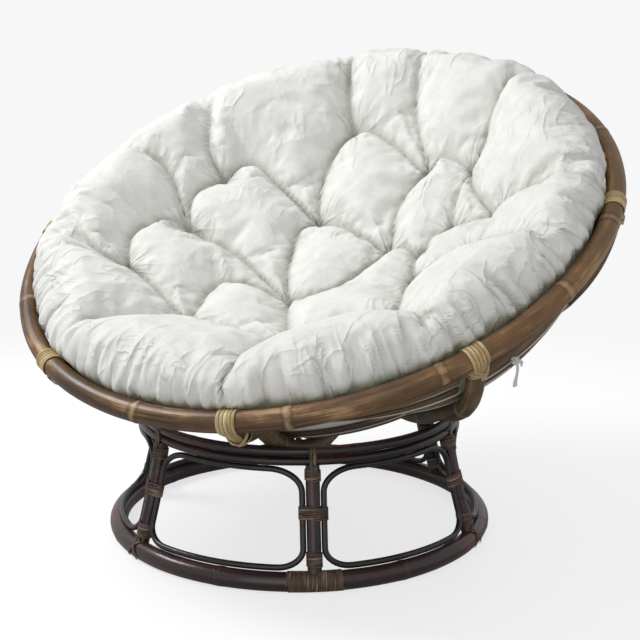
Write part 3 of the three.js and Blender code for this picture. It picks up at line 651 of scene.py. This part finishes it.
def buildLoop(index, around):
    points, faces = loopPath(around + math.pi / upright["count"])
    knots = (0.1, 0.27 + 0.05 * (index % 2), 0.46)
    ring = canePole(points, faces, loop["pole"] * 0.98, knots, 0.06)
    ring["closed"] = True
    made = sweep(f"fieldLoop_{index + 1}", [ring], "lacquered_thin_cane", "stand", 16)
    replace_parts(made, f"panel_loop_{index + 1}")


def buildLashings(index, around):
    place = index + 1
    post = (0, 0, upright["pole"])
    waistRadius = uprightRadius(waistLook["height"])
    out = math.sqrt(waistRadius ** 2 - loopOffset ** 2) - waistRadius
    three = [post, (-loopOffset, out, loop["pole"]), (loopOffset, out, loop["pole"])]
    for part, poles, look in (
        ("waist", three, waistLook), ("foot", [post], footLook), ("head", [post], headLook),
    ):
        spot = postPlace(around, look["height"])
        heading = postHeading(around, look["height"])
        strand = windRound(spot, heading, polar(1, around, 0), poles, look, 10 * place)
        made = flatSweep(f"{part}Wrap_{place}", [strand], look, "dark_peel", "stand")
        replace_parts(made, f"{part}_lashing_{place}")
    straps = headStrap(around)
    if index:
        straps += footStraps(around, place)
    flatSweep(f"straps_{place}", straps, strapLook, "dark_peel", "stand")


def buildStand():
    # The floor ring's high tone paints its lacquer lighter, as a painted reflection of the bright floor
    buildRing("lowerRing", "floor_ring", floorRing, 0.76, (8, 62, 108, 190, 262, 322))
    buildRing("middleRing", "under_ring", underRing, 0.6, (20, 75, 200, 300))
    buildRing("upperRing", "seat_ring", seatRing, 0.65, (352, 50, 120, 230, 290))
    for index, around in enumerate(uprightArounds):
        buildPost(index, around)
        buildLoop(index, around)
        buildLashings(index, around)
    made = flatSweep("spliceWrap", [spliceStrand()], spliceLook, "dark_peel", "stand")
    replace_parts(made, "splice_lashing")


# Bowl, drawn about the middle of the round shape that rests on the stand
def bowlDirection(angle, around):
    return polar(math.sin(angle), around, -math.cos(angle))


def shoulderAngle(around):
    leans = np.linspace(0, math.radians(32), 17)
    level, drop = np.cos(leans), np.sin(leans) * math.cos(around)
    meets = np.minimum(math.cos(seatAngle) / np.hypot(level, drop), 1)
    return float(np.max(np.arctan2(drop, level) + np.arccos(meets))) + math.radians(1.5)


def ribReach(angle, around):
    shoulder = shoulderAngle(around)
    share = min(max((angle - shoulder) / (rimAngle - shoulder), 0), 1)
    return supportReach + rib["inset"] * (1 - (1 - share ** 1.3) ** 2.5)


def ribPlace(angle, around):
    return bowlDirection(angle, around) * ribReach(angle, around)


def bowlPlace(angle, around, inset):
    nudge = math.radians(0.25)
    heading = unit(ribPlace(angle + nudge, around) - ribPlace(angle - nudge, around))
    inward = unit(np.cross(heading, polar(1, around + math.pi / 2, 0)))
    return ribPlace(angle, around) + inward * inset


# Cushion. Its plan is a square grid drawn out to a round: the middle is the dish, the edge of the
# grid is the line where the cushion goes down behind the rim.
cushion = {
    "grid": 200, "crestRadius": 0.432, "rise": 0.052, "backRise": 0.010, "drop": 0.118, "dish": 2.1,
    "puff": 0.017, "pillow": 0.062, "tuftDepth": 0.046, "creaseDepth": 0.026, "outerDepth": 0.02,
    "fullerRise": 0.010, "fullerOut": 0.005,
}
# How the cover is drawn tight, by Blender's own names: it is let out a little and blown up from
# inside for a few frames, and no point may move further than the most
clothSettings = {
    "quality": 5, "mass": 0.25, "tension_stiffness": 12, "compression_stiffness": 6,
    "shear_stiffness": 3, "bending_stiffness": 0.7, "shrink_min": -0.055, "shrink_max": -0.055,
    "use_pressure": True, "uniform_pressure_force": 3.2, "vertex_group_mass": "held",
}
clothFrames = 16
mostMove = 0.024
# The folds down the roll's side: how many go round, and how deep they are inwards and downwards
rollFolds = {
    "folds": 26, "pleats": 62, "gathers": 9, "foldIn": 0.009, "foldDown": 0.007, "pleat": 0.0015,
    "gatherIn": 0.003, "gatherUp": 0.006, "fullOut": 0.005, "fullUp": 0.003,
}
coverAir = 0.0009
# Share of the way out, radius, height over the rim plane, and how much of the crest's rise it takes
rollPlaces = (
    (0.77, 0.410, -0.015, 0.96), (0.81, 0.430, -0.003, 1.0), (0.85, 0.449, -0.004, 1.0),
    (0.885, 0.471, -0.013, 1.0), (0.92, 0.489, -0.026, 0.9), (0.955, 0.487, -0.018, 0.4),
    (1.0, 0.479, -0.017, 0.0),
)
# Where the cover is drawn down: tufts by letter, and the creases between them. Places are across
# and back from the bowl's middle, in metres; each crease goes from tuft to tuft or out to the roll.
tufts = {
    "a": (-0.082, 0.313), "b": (-0.282, 0.142), "c": (-0.286, 0.007), "d": (-0.304, -0.159),
    "e": (-0.082, 0.126), "f": (-0.041, -0.082), "g": (-0.144, -0.231), "i": (0.093, 0.252),
    "j": (0.188, 0.240), "k": (0.082, 0.074), "l": (0.157, 0.055), "m": (0.197, 0.109),
    "n": (0.285, 0.111), "o": (0.176, -0.017), "p": (0.269, 0.019), "q": (0.060, -0.240),
    "r": (0.215, -0.165),
}
creases = (
    ("b", (-0.318, 0.171), (-0.335, 0.205), (-0.350, 0.262)),
    ("b", (-0.303, 0.091), (-0.303, 0.050), "c"),
    ("c", (-0.321, 0.049), (-0.365, 0.095), (-0.425, 0.100)),
    ("c", (-0.321, 0.002), (-0.336, -0.054), (-0.333, -0.102), "d"),
    ("d", (-0.336, -0.167), (-0.373, -0.157), (-0.430, -0.120)),
    ("d", (-0.269, -0.165), (-0.206, -0.197), "g"),
    ("c", (-0.240, 0.002), (-0.187, -0.005), (-0.120, -0.038), "f"),
    ("g", (-0.158, -0.178), (-0.169, -0.115), (-0.157, -0.085), (-0.111, -0.072), "f"),
    ("e", (-0.110, 0.096), (-0.098, 0.045), (-0.077, -0.021), "f"),
    ("e", (-0.130, 0.148), (-0.181, 0.172), (-0.230, 0.194), (-0.264, 0.181), "b"),
    ("e", (-0.101, 0.169), (-0.109, 0.221), (-0.102, 0.273), "a"),
    ("a", (-0.103, 0.354), (-0.125, 0.430)),
    ("f", (0.013, -0.062), (0.042, -0.020), (0.062, 0.030), "k"),
    ("e", (-0.037, 0.124), (0.014, 0.105), "k"),
    ("a", (-0.050, 0.320), (0.010, 0.296), (0.063, 0.264), "i"),
    ("i", (0.053, 0.318), (0.034, 0.361), (0.020, 0.440)),
    ("k", (0.075, 0.113), (0.063, 0.154), (0.069, 0.204), "i"),
    ("i", (0.114, 0.269), (0.147, 0.261), "j"),
    ("j", (0.205, 0.276), (0.206, 0.319), (0.232, 0.385)),
    ("j", (0.202, 0.203), (0.235, 0.161), "n"),
    ("m", (0.182, 0.161), (0.180, 0.198), "j"),
    ("k", (0.118, 0.073), "l"),
    ("l", (0.165, 0.084), "m"),
    ("m", (0.247, 0.104), "n"),
    ("n", (0.320, 0.122), (0.366, 0.117), (0.402, 0.110), (0.440, 0.122)),
    ("l", (0.160, 0.021), "o"),
    ("o", (0.209, -0.023), (0.244, -0.004), "p"),
    ("p", (0.300, 0.030), (0.350, 0.000), (0.445, -0.054)),
    ("g", (-0.160, -0.290), (-0.215, -0.375)),
    ("f", (-0.010, -0.140), (0.030, -0.200), "q"),
    ("q", (0.000, -0.246), (-0.070, -0.238), "g"),
    ("q", (0.110, -0.212), (0.160, -0.184), "r"),
    ("o", (0.183, -0.070), (0.200, -0.120), "r"),
    ("q", (0.075, -0.310), (0.090, -0.400)),
    ("r", (0.270, -0.210), (0.345, -0.270)),
)


# A smooth curve through rows of numbers, sampled finely
def curveThrough(rows, samples=24):
    rows = np.asarray(rows, float)
    padded = np.vstack([2 * rows[0] - rows[1], rows, 2 * rows[-1] - rows[-2]])
    steps = np.linspace(0, 1, samples, endpoint=False)[:, None]
    parts = []
    for first in range(len(rows) - 1):
        a, b, c, d = padded[first:first + 4]
        parts.append(0.5 * (2 * b + (c - a) * steps + (2 * a - 5 * b + 4 * c - d) * steps ** 2
                            + (3 * b - a - 3 * c + d) * steps ** 3))
    return np.vstack([*parts, rows[-1:]])


def smoothShare(value):
    held = np.clip(value, 0, 1)
    return held * held * (3 - 2 * held)


# Repeatable soft noise over any number of directions, from sums of turned waves
def softNoise(points, wavelength, seed, octaves=3):
    maker = np.random.default_rng(seed)
    points = np.asarray(points, float)
    total = np.zeros(points.shape[:-1])
    for octave in range(octaves):
        for _ in range(7):
            way = maker.normal(size=points.shape[-1])
            way *= 2 * math.pi * 2 ** octave / (wavelength * np.linalg.norm(way)) * maker.uniform(0.7, 1.3)
            total += np.sin(points @ way + maker.uniform(0, 2 * math.pi)) / 2 ** octave
    return total / 5


def discGrid(count):
    side = np.linspace(-1, 1, count + 1)
    across, back = np.meshgrid(side, side, indexing="ij")
    x = across * np.sqrt(1 - back ** 2 / 2)
    y = back * np.sqrt(1 - across ** 2 / 2)
    return x, y


# Radius and height over the rim plane, from the share of the way out and how far back it is
def cushionProfile(share, back):
    rise = cushion["rise"] + cushion["backRise"] * back
    first = rollPlaces[0]
    shares = np.linspace(0, first[0] - 0.03, 25)
    radii = shares / first[0] * first[1]
    steepness = (radii / cushion["crestRadius"]) ** cushion["dish"]
    dish = [(s, r, -cushion["drop"] * (1 - g), g) for s, r, g in zip(shares, radii, steepness)]
    table = curveThrough([*dish, *rollPlaces])
    radius = np.interp(share, table[:, 0], table[:, 1])
    height = np.interp(share, table[:, 0], table[:, 2]) + rise * np.interp(share, table[:, 0], table[:, 3])
    return radius, height


# How far the cover is drawn down at places across and back, and how near the closest crease is
def drawnDown(x, y):
    tuftDepth = cushion["tuftDepth"]
    depth = np.zeros(x.shape)
    nearest = np.full(x.shape, 1.0)
    for row in creases:
        points = np.array([tufts[place] if isinstance(place, str) else place for place in row])
        line = curveThrough(points, 8)
        shares = lengthsOf(line) / lengthsOf(line)[-1]
        last, sag = tuftDepth, cushion["creaseDepth"]
        if not isinstance(row[-1], str):
            last, sag = cushion["outerDepth"], (cushion["creaseDepth"] + cushion["outerDepth"]) / 2
        ends = tuftDepth + (last - tuftDepth) * shares
        depths = ends + (np.minimum(sag, ends) - ends) * np.sin(math.pi * shares) ** 0.55
        for low in range(len(line) - 1):
            start, run = line[low], line[low + 1] - line[low]
            near = np.clip(((x - start[0]) * run[0] + (y - start[1]) * run[1]) / (run @ run), 0, 1)
            apart = np.hypot(x - start[0] - near * run[0], y - start[1] - near * run[1])
            held = depths[low] + near * (depths[low + 1] - depths[low])
            reach = cushion["pillow"] * (0.45 + 0.55 * held / tuftDepth)
            inward = np.clip(1 - apart / reach, 0, 1)
            depth = np.maximum(depth, held * (1 - np.sqrt(1 - inward ** 2)) ** 0.8)
            nearest = np.minimum(nearest, apart)
    return depth, nearest


# Where the folds that run out from the closest tuft lie: the way round it and the distance, and
# how much they show
def pullOfTufts(x, y):
    places = np.array(list(tufts.values()))
    apart = np.hypot(x[:, None] - places[:, 0], y[:, None] - places[:, 1])
    order = np.argsort(apart, axis=1)
    first, second = (np.take_along_axis(apart, order[:, [rank]], 1)[:, 0] for rank in (0, 1))
    ways = np.arctan2(y - places[order[:, 0], 1], x - places[order[:, 0], 0])
    pull = np.stack([np.cos(ways), np.sin(ways), first * 5 + order[:, 0] * 3.7], -1)
    held = np.exp(-first / 0.055) * smoothShare(first / 0.012) * smoothShare((second - first) / 0.03)
    return pull, held


def gridFaces(count):
    index = np.arange((count + 1) ** 2).reshape(count + 1, count + 1)
    return np.stack([index[:-1, :-1], index[1:, :-1], index[1:, 1:], index[:-1, 1:]], -1).reshape(-1, 4)


def meshFrom(name, points, faces):
    mesh = bpy.data.meshes.new(name)
    mesh.from_pydata([tuple(point) for point in points], [], [tuple(face) for face in faces])
    mesh.polygons.foreach_set("use_smooth", [True] * len(mesh.polygons))
    return mesh


def simulateCover(points, faces, pinned):
    cover = linked("cover", meshFrom("cover", points, faces))
    group = cover.vertex_groups.new(name="held")
    for weight in np.unique(np.round(pinned, 2)):
        if weight > 0:
            group.add(np.flatnonzero(np.round(pinned, 2) == weight).tolist(), float(weight), "REPLACE")
    tool = cover.modifiers.new("cloth", "CLOTH")
    for key, value in clothSettings.items():
        setattr(tool.settings, key, value)
    tool.settings.effector_weights.gravity = 0
    tool.collision_settings.use_collision = False
    tool.point_cache.frame_start = 1
    tool.point_cache.frame_end = clothFrames
    for number in range(1, clothFrames + 1):
        scene.frame_set(number)
    drawn = cover.evaluated_get(bpy.context.evaluated_depsgraph_get())
    moved = np.zeros(len(points) * 3)
    drawn.to_mesh().vertices.foreach_get("co", moved)
    drawn.to_mesh_clear()
    bpy.data.objects.remove(cover)
    scene.frame_set(1)
    move = moved.reshape(-1, 3) - points
    length = np.linalg.norm(move, axis=1, keepdims=True)
    return points + move * np.minimum(1, mostMove / np.maximum(length, 1e-9))


# The cushion's underside lies on the bands, a little fuller in the gaps between them
def underRows(arounds):
    half = band["width"] / 2 / rimReach
    onBands = ribFace + band["thickness"] + coverAir
    onRing = ribFace + 2 * bottomRing["pole"] + coverAir
    ringEdge = (bottomRing["radius"] + 0.035) / supportReach
    stops = []
    bands = [math.radians(degrees) for degrees in band["angles"]]
    above = rimAngle - 0.045
    for angle in bands:
        bulge = 0.0045 if len(stops) > 5 else 0
        stops += [((above + angle + half) / 2, bulge), (angle + half, 0), (angle - half, 0)]
        above = angle - half
    stops += [(math.radians(degrees), 0) for degrees in (25.5, 22, 16.5, 10, 5)]
    lastBand = bands[-1] - 2 * half
    rows = []
    for angle, bulge in stops:
        share = smoothShare((lastBand - angle) / (lastBand - ringEdge))
        inset = onBands + (onRing - onBands) * share - bulge
        rows.append([bowlPlace(angle, around, inset) for around in arounds])
    return rows


# The cover's points before it is drawn tight, and what else is known of each
def shapeCover(count):
    gridX, gridY = discGrid(count)
    share = np.hypot(gridX, gridY)
    around = np.arctan2(gridX, -gridY)
    radius, height = cushionProfile(share, (1 - np.cos(around)) / 2)
    depth, nearest = drawnDown(radius * np.sin(around), -radius * np.cos(around))
    swell = cushion["puff"] * smoothShare((0.98 - share) * 3.2)
    height = height + swell - depth * smoothShare((0.94 - share) * 8)
    # It is fullest to the back on the sitter's left, and gathered most along the front
    fuller = np.exp(-((around - math.radians(135)) / 0.45) ** 2) * smoothShare((share - 0.6) * 4)
    outer = smoothShare((share - 0.8) * 9) * smoothShare((1 - share) * 14)
    height = height + cushion["fullerRise"] * fuller
    radius = radius + cushion["fullerOut"] * fuller * outer
    gathered = 0.25 + 0.75 * smoothShare(0.55 + 0.9 * np.cos(around - math.radians(25)))
    # The roll is gathered along its seam, so its side falls in upright folds
    size = rollFolds
    gather = softNoise(np.stack([around * size["gathers"], share * 2], -1), 2.2, 4, 3)
    folds = np.abs(softNoise(np.stack([around * size["folds"], share * 3], -1), 2.4, 9, 2))
    pleats = np.abs(softNoise(np.stack([around * size["pleats"], share * 9], -1), 2.6, 12, 2))
    roll = smoothShare((share - 0.8) * 12) * smoothShare((1.0 - share) * 14)
    inward = gathered * (size["foldIn"] * folds + size["pleat"] * pleats)
    downward = gathered * (size["foldDown"] * folds + size["pleat"] * pleats)
    radius = radius - roll * (inward - size["fullOut"] + size["gatherIn"] * gather)
    height = height + roll * (size["gatherUp"] * gather - downward + size["fullUp"])
    x, y = radius * np.sin(around), -radius * np.cos(around)
    points = np.stack([x, y, height - rim["below"]], -1).reshape(-1, 3)
    # Where the painted shade line of each crease lies, for the cotton's colour
    creaseShade = np.exp(-(nearest / 0.0055) ** 2) * smoothShare((0.83 - share) * 9)
    pull, held = pullOfTufts(x.ravel(), y.ravel())
    marks = {
        "pull": pull, "held": held, "creaseShade": creaseShade.ravel(),
        "seam": np.stack([np.cos(around) * 9, np.sin(around) * 9, share * 2.2], -1).reshape(-1, 3),
        "edge": (gathered * smoothShare((share - 0.74) * 9)).ravel(),
    }
    return points, around.ravel(), share.ravel(), nearest.ravel(), marks


# The cover rests against the rim, so it stays out of the pole
def keepInsideRim(points):
    out = np.hypot(points[:, 0], points[:, 1])
    level = points[:, 2] + rim["below"]
    room = np.sqrt(np.maximum((rim["pole"] + 0.001) ** 2 - level ** 2, 0))
    kept = np.minimum(out, np.where(room > 0, rim["radius"] - room, 1))
    points[:, :2] *= (kept / np.maximum(out, 1e-9))[:, None]


def buildCushion():
    count = cushion["grid"]
    points, around, share, nearest, marks = shapeCover(count)
    faces = gridFaces(count)
    pinned = np.maximum(
        smoothShare((share - 0.93) * 18),
        smoothShare(1.35 - nearest / 0.006) * (share < 0.86),
    )
    points = simulateCover(points, faces, pinned)
    print("cover simulated")
    keepInsideRim(points)
    # Rows of faces go down from the cover's border and close under the middle
    index = np.arange((count + 1) ** 2).reshape(count + 1, count + 1)
    border = np.concatenate([index[:-1, 0], index[-1, :-1], index[:0:-1, -1], index[0, :0:-1]])
    rows = underRows(around[border])
    everyPoint = np.vstack([points, *rows, np.mean(rows[-1], axis=0)[None]])
    middle = len(everyPoint) - 1
    before = border
    quads = [faces]
    for number in range(len(rows)):
        here = len(points) + number * len(border) + np.arange(len(border))
        quads.append(np.stack([before, here, np.roll(here, -1), np.roll(before, -1)], -1))
        before = here
    closing = [(low, middle, high) for low, high in zip(before, np.roll(before, -1))]
    mesh = meshFrom("cushionCover", fromBowl(everyPoint), [*np.vstack(quads), *closing])
    for key, values in marks.items():
        spread = np.zeros((len(everyPoint), *values.shape[1:]))
        spread[:len(values)] = values
        keepOn(mesh, key, spread)
    made = linked("cushionCover", mesh)
    mesh.materials.append(materials["cotton"])
    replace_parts(made, "cushion")
    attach(made, "cushion")


# Rim lashings: pale peel goes over the rim and down both faces of each rib's head
saddleLook = {
    "strands": 5, "width": 0.0056, "thickness": 0.0019, "pitch": 0.0060, "leg": 0.029, "longLeg": 0.041,
    "drawnIn": 0.62,
}
# Height over the legs' ends, number added to the seed, turns, and how far they lean
collars = ((0.003, 0, 2, 0.45), (0.006, 40, 1, -0.5))
collarLook = {"pitch": 0.0058, "width": 0.0056, "thickness": 0.0015, "steps": 36}


def saddleStrands(around, leg, seed):
    maker = np.random.default_rng(seed)
    top = ribPlace(rimAngle, around)
    down = unit(ribPlace(rimAngle - leg / rimReach, around) - top)
    along = polar(1, around + math.pi / 2, 0)
    outward = unit(np.cross(down, along))
    reach = rim["pole"] + clearance + saddleLook["thickness"] / 2
    strands = []
    for number in range(saddleLook["strands"]):
        offset = (number - (saddleLook["strands"] - 1) / 2) * saddleLook["pitch"]
        drawn = saddleLook["drawnIn"] + maker.uniform(-0.05, 0.05)
        lift = maker.uniform(0, 0.0005)
        points, faces = [], []
        for share in np.linspace(1, 0, 9):
            aside = offset * (1 + (drawn - 1) * share ** 0.8)
            onRib = math.sqrt(max(ribFace ** 2 - aside ** 2, 0)) + saddleLook["thickness"] / 2
            out = reach + (onRib - reach) * smoothShare(share * 1.2)
            points.append(top + down * leg * share + along * aside + outward * (out + lift))
            faces.append(outward + along * aside / rib["pole"] * share)
        for turn in np.linspace(0, math.pi, 20)[1:-1]:
            face = outward * math.cos(turn) - down * math.sin(turn)
            points.append(top + along * offset + face * (reach + lift))
            faces.append(face)
        for point, face in reversed(list(zip(points[:9], faces[:9]))):
            apart = (point - top) @ outward
            points.append(point - outward * 2 * apart)
            faces.append(face - outward * 2 * (np.asarray(face) @ outward))
        strands.append({"points": fromBowl(points), "faces": np.array(faces) @ bowlTurn.T,
                        "sizes": saddleLook["width"] / 2, "toneAndPaintedLight": maker.uniform(0.2, 0.9),
                        "start": maker.uniform(0, 9)})
    return strands


# Turns of peel round a rib's head and the saddle's legs, leaning sideways as they go round
def collarStrand(around, drop, seed, turns, lean):
    angle = rimAngle - drop / rimReach
    place = ribPlace(angle, around)
    heading = unit(ribPlace(angle + 0.01, around) - ribPlace(angle - 0.01, around))
    side = polar(1, around + math.pi / 2, 0)
    outward = unit(np.cross(side, heading))
    if outward @ bowlDirection(angle, around) < 0:
        outward = -outward
    look = {**collarLook, "turns": turns}
    poles = [(0, 0, rib["pole"] + 0.0018 + saddleLook["thickness"])]
    tipped = unit(heading + lean * side)
    strand = windRound(place, tipped, outward, poles, look, seed)
    strand["points"] = fromBowl(strand["points"])
    strand["faces"] = strand["faces"] @ bowlTurn.T
    return strand


# Bands of split cane inside the ribs: each is a few strips whose ends are nailed near a rib. Rows
# are the angles in degrees where a strip starts and ends, counted on past a full turn.
bandStrips = (
    ((57.2, 189), (191.5, 325), (327.5, 414.2)), ((57.4, 235), (238.5, 413.6)),
    ((16, 145), (149, 284), (286.5, 372)), ((58, 189), (193, 414)), ((15, 280), (284, 371)), ((60, 417),),
)
bandInset = ribFace + clearance + band["thickness"] / 2


def bandStrip(angle, first, last, seed, half, inset=bandInset):
    maker = np.random.default_rng(seed)
    arounds = np.radians(np.linspace(first, last, max(int((last - first) / 1.6), 4)))
    drift = softNoise(np.stack([arounds, arounds * 0 + seed], -1), 2.3, seed, 2) * 0.0022
    twist = maker.uniform(-0.004, 0.004) / rimReach
    points, faces = [], []
    for around, moved in zip(arounds, drift):
        leaned = angle + moved / rimReach + twist * (around - arounds[0])
        point = bowlPlace(leaned, around, inset)
        points.append(point)
        faces.append(unit(bowlPlace(leaned, around, inset - 0.01) - point))
    knots = knotsAt(lengthsOf(np.array(points)), maker.uniform(0, 1.4, 3), 0.004)
    sizes = half * (1 + 0.06 * softNoise(np.stack([arounds * 3, arounds * 0], -1), 2, seed + 5, 2))
    return {"points": fromBowl(points), "faces": np.array(faces) @ bowlTurn.T, "sizes": sizes, "knots": knots,
            "toneAndPaintedLight": maker.uniform(0.15, 0.85), "start": maker.uniform(0, 9)}


# Loose strips that fill the gaps beside the bands, each with its height as an angle, where it starts
# and ends and half its width. Those over the first band pass inside the rim's lashings.
fillStrips = (
    (74.9, 62, 141, 0.0094), (75.1, 143, 290, 0.0085), (74.9, 292, 344, 0.009), (69.8, 59, 167, 0.0125),
    (69.7, 170, 302, 0.0105), (69.9, 304, 413.7, 0.0082), (64.1, 60, 150, 0.0128),
    (64.2, 352, 413.4, 0.0105), (57.2, 70, 190, 0.014), (57.3, 396, 413.6, 0.0135), (48.0, 60, 150, 0.014),
    (75.0, 393, 413.6, 0.009), (48.2, 345, 413.1, 0.014),
)


def buildBands():
    for number, (degrees, first, last, half) in enumerate(fillStrips):
        inset = bandInset + (0.0011 if degrees > band["angles"][0] else 0.0001)
        strip = bandStrip(math.radians(degrees), first, last, 300 + 7 * number, half, inset)
        sweep(f"fillStrip_{number + 1}", [strip], "split_cane", "bowl", 12, band["thickness"] * 0.33 / half)
    for index, degrees in enumerate(band["angles"]):
        strips = [bandStrip(math.radians(degrees), first, last, 31 * index + step, band["width"] / 2)
                  for step, (first, last) in enumerate(bandStrips[index])]
        flatness = band["thickness"] / band["width"]
        made = sweep(f"strips_{index + 1}", strips, "split_cane", "bowl", 12, flatness)
        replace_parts(made, f"band_{index + 1}")


# The cushion's tie: a knot on the second band, a stub and a tail that hangs and flares at its end.
# A tail's row is how far it goes aside, its length and how steeply it falls.
tie = {
    "around": 66.0, "knot": 0.0062, "width": 0.008, "thickness": 0.0016,
    "tails": ((0.12, 0.042, 1.0), (1.0, 0.019, 0.45)), "loopLeans": (-0.6, 0.5), "loopPole": 0.0033,
}


def buildTie():
    around, angle = math.radians(tie["around"]), math.radians(band["angles"][1])
    knot = fromBowl(bowlPlace(angle, around, rib["pole"] - tie["knot"] + 0.001))
    side, out = polar(1, around + math.pi / 2, 0), unit(polar(1, around, 0.2))
    down = np.array([0, 0, -1])
    shares = np.linspace(0, 1, 12)
    sizes = tie["width"] / 2 * (0.62 + 0.5 * shares + 0.1 * np.sin(shares * 9))
    strands = []
    for way, length, fall in tie["tails"]:
        path = [knot + (side * way + down * fall) * length * share
                + out * 0.003 * (1 - share + math.sin(share * 5)) for share in shares]
        strands.append({"points": path, "faces": [out] * len(path), "sizes": sizes})
    tails = sweep("tieTails", strands, "cotton", "bowl", 12, tie["thickness"] / tie["width"])
    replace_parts(tails, "cushion_tie")
    loops = []
    for lean in tie["loopLeans"]:
        up = unit(lean * side - down)
        path = [knot + tie["knot"] * 0.62 * (side * math.cos(turn) + up * math.sin(turn))
                + out * 0.002 * math.sin(2 * turn) for turn in np.linspace(0, 2 * math.pi, 25)]
        loops.append({"points": path, "faces": [out] * len(path), "sizes": tie["loopPole"]})
    sweep("tieKnot", loops, "cotton", "bowl", 12, 0.6)


def buildRib(index, degrees):
    around, place = math.radians(degrees), index + 1
    low = math.asin(rib["end"] / supportReach)
    high = rimAngle - (rim["pole"] * 0.8) / rimReach
    points = fromBowl([ribPlace(angle, around) for angle in np.linspace(low, high, 80)])
    faces = np.array([polar(1, around + math.pi / 2, 0)] * len(points)) @ bowlTurn.T
    knots = (0.11 + 0.05 * (index % 3), 0.33 + 0.04 * (index % 2))
    pole = canePole(points, faces, rib["pole"], knots, 0.05, 0.01)
    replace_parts(sweep(f"ribPole_{place}", [pole], "rib_cane", "bowl", 24), f"rib_{place}")
    leg = saddleLook["leg"] if index else saddleLook["longLeg"]
    strands = saddleStrands(around, leg, place)
    for up, more, turns, lean in collars:
        strands.append(collarStrand(around, leg - up, place + more, turns, lean))
    made = flatSweep(f"rimTie_{place}", strands, saddleLook, "pale_peel", "bowl")
    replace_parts(made, f"rib_lashing_{place}")


def buildBowl():
    arounds = ringStart + np.linspace(0, 2 * math.pi, 481)
    points = fromBowl([polar(rim["radius"], around, -rim["below"]) for around in arounds])
    faces = np.array([polar(1, around, 0) for around in arounds]) @ bowlTurn.T
    knots = alongRing(rim["radius"], *rim["knots"])
    pole = canePole(points, faces, rim["pole"], knots, 0.05, 0.018)
    pole["toneAndPaintedLight"] = 0.55 + 0.25 * np.cos(arounds - math.radians(rim["lightest"]))
    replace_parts(sweep("rimPole", [pole], "rim_cane", "bowl", 32), "rim")
    reach = supportReach - ribFace - clearance - bottomRing["pole"]
    height = -math.sqrt(reach ** 2 - bottomRing["radius"] ** 2)
    points = fromBowl([polar(bottomRing["radius"], around, height) for around in arounds[::4]])
    pole = canePole(points, faces[::4], bottomRing["pole"], (0.2, 0.6))
    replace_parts(sweep("lowRing", [pole], "rib_cane", "bowl", 20), "bottom_ring")
    for index, degrees in enumerate(rib["degrees"]):
        buildRib(index, degrees)


buildStand()
print("stand built")
buildBowl()
print("bowl built")
buildBands()
buildTie()
print("bands built")
buildCushion()
print("cushion built")

# Camera and light
cameraSizes = {"place": (1.211, -2.056, 0.882), "target": (0.0310, -0.0329, 0.3577), "lens": 79.17}
cameraData = bpy.data.cameras.new("camera")
cameraData.lens = cameraSizes["lens"]
camera = bpy.data.objects.new("camera", cameraData)
scene.collection.objects.link(camera)
camera.location = cameraSizes["place"]
aim = Vector(cameraSizes["target"]) - camera.location
camera.rotation_mode = "QUATERNION"
camera.rotation_quaternion = aim.to_track_quat("-Z", "Y")
scene.camera = camera


def lamp(name, place, size, energy, target=(0, 0, 0.4)):
    data = bpy.data.lights.new(name, "AREA")
    data.energy = energy
    data.size = size
    made = bpy.data.objects.new(name, data)
    scene.collection.objects.link(made)
    made.location = place
    made.rotation_mode = "QUATERNION"
    made.rotation_quaternion = (Vector(target) - made.location).to_track_quat("-Z", "Y")


lamp("keyLamp", (-1.8, -0.6, 2.4), 1.1, 51)
lamp("fillLamp", (0.9, -2.6, 1.0), 2.0, 9)

# The camera sees the surroundings as plain white, and the rest is lit by a softer white
world = bpy.data.worlds.new("world")
scene.world = world
world.use_nodes = True
sky = world.node_tree.nodes
seen = sky.new("ShaderNodeMix")
seen.data_type = "RGBA"
seen.inputs[6].default_value = (0.5, 0.5, 0.5, 1)
seen.inputs[7].default_value = (0.93, 0.93, 0.94, 1)
world.node_tree.links.new(sky.new("ShaderNodeLightPath").outputs["Is Camera Ray"], seen.inputs[0])
world.node_tree.links.new(seen.outputs[2], sky["Background"].inputs["Color"])


# Floor: white to the camera, fading into the surroundings well outside the chair
def buildFloor():
    shader = Shader("floor")
    spot = shader.spot()
    apart = shader.node("ShaderNodeVectorMath", {"operation": "LENGTH"}, [spot], 1)
    shader.set(Base_Color=shader.mix(apart.ramp(0.5, 1.2), "9c9c9e", "a0a0a0"))
    shader.set(Alpha=1 - apart.ramp(0.8, 1.7))
    shader.surface.inputs["Roughness"].default_value = 0.6
    seen = shader.node("ShaderNodeLightPath", {}, {})
    shader.set(Emission_Color=shader.mix(seen, "5a5a5a", "ffffff"))
    shader.surface.inputs["Emission Strength"].default_value = 0.71
    border = [polar(2.5, turn, 0) for turn in np.linspace(0, 2 * math.pi, 97)[:-1]]
    mesh = meshFrom("floor", border, [range(96)])
    mesh.materials.append(shader.material)
    made = linked("floor", mesh)
    made.location = (0, 0, -0.0005)


buildFloor()
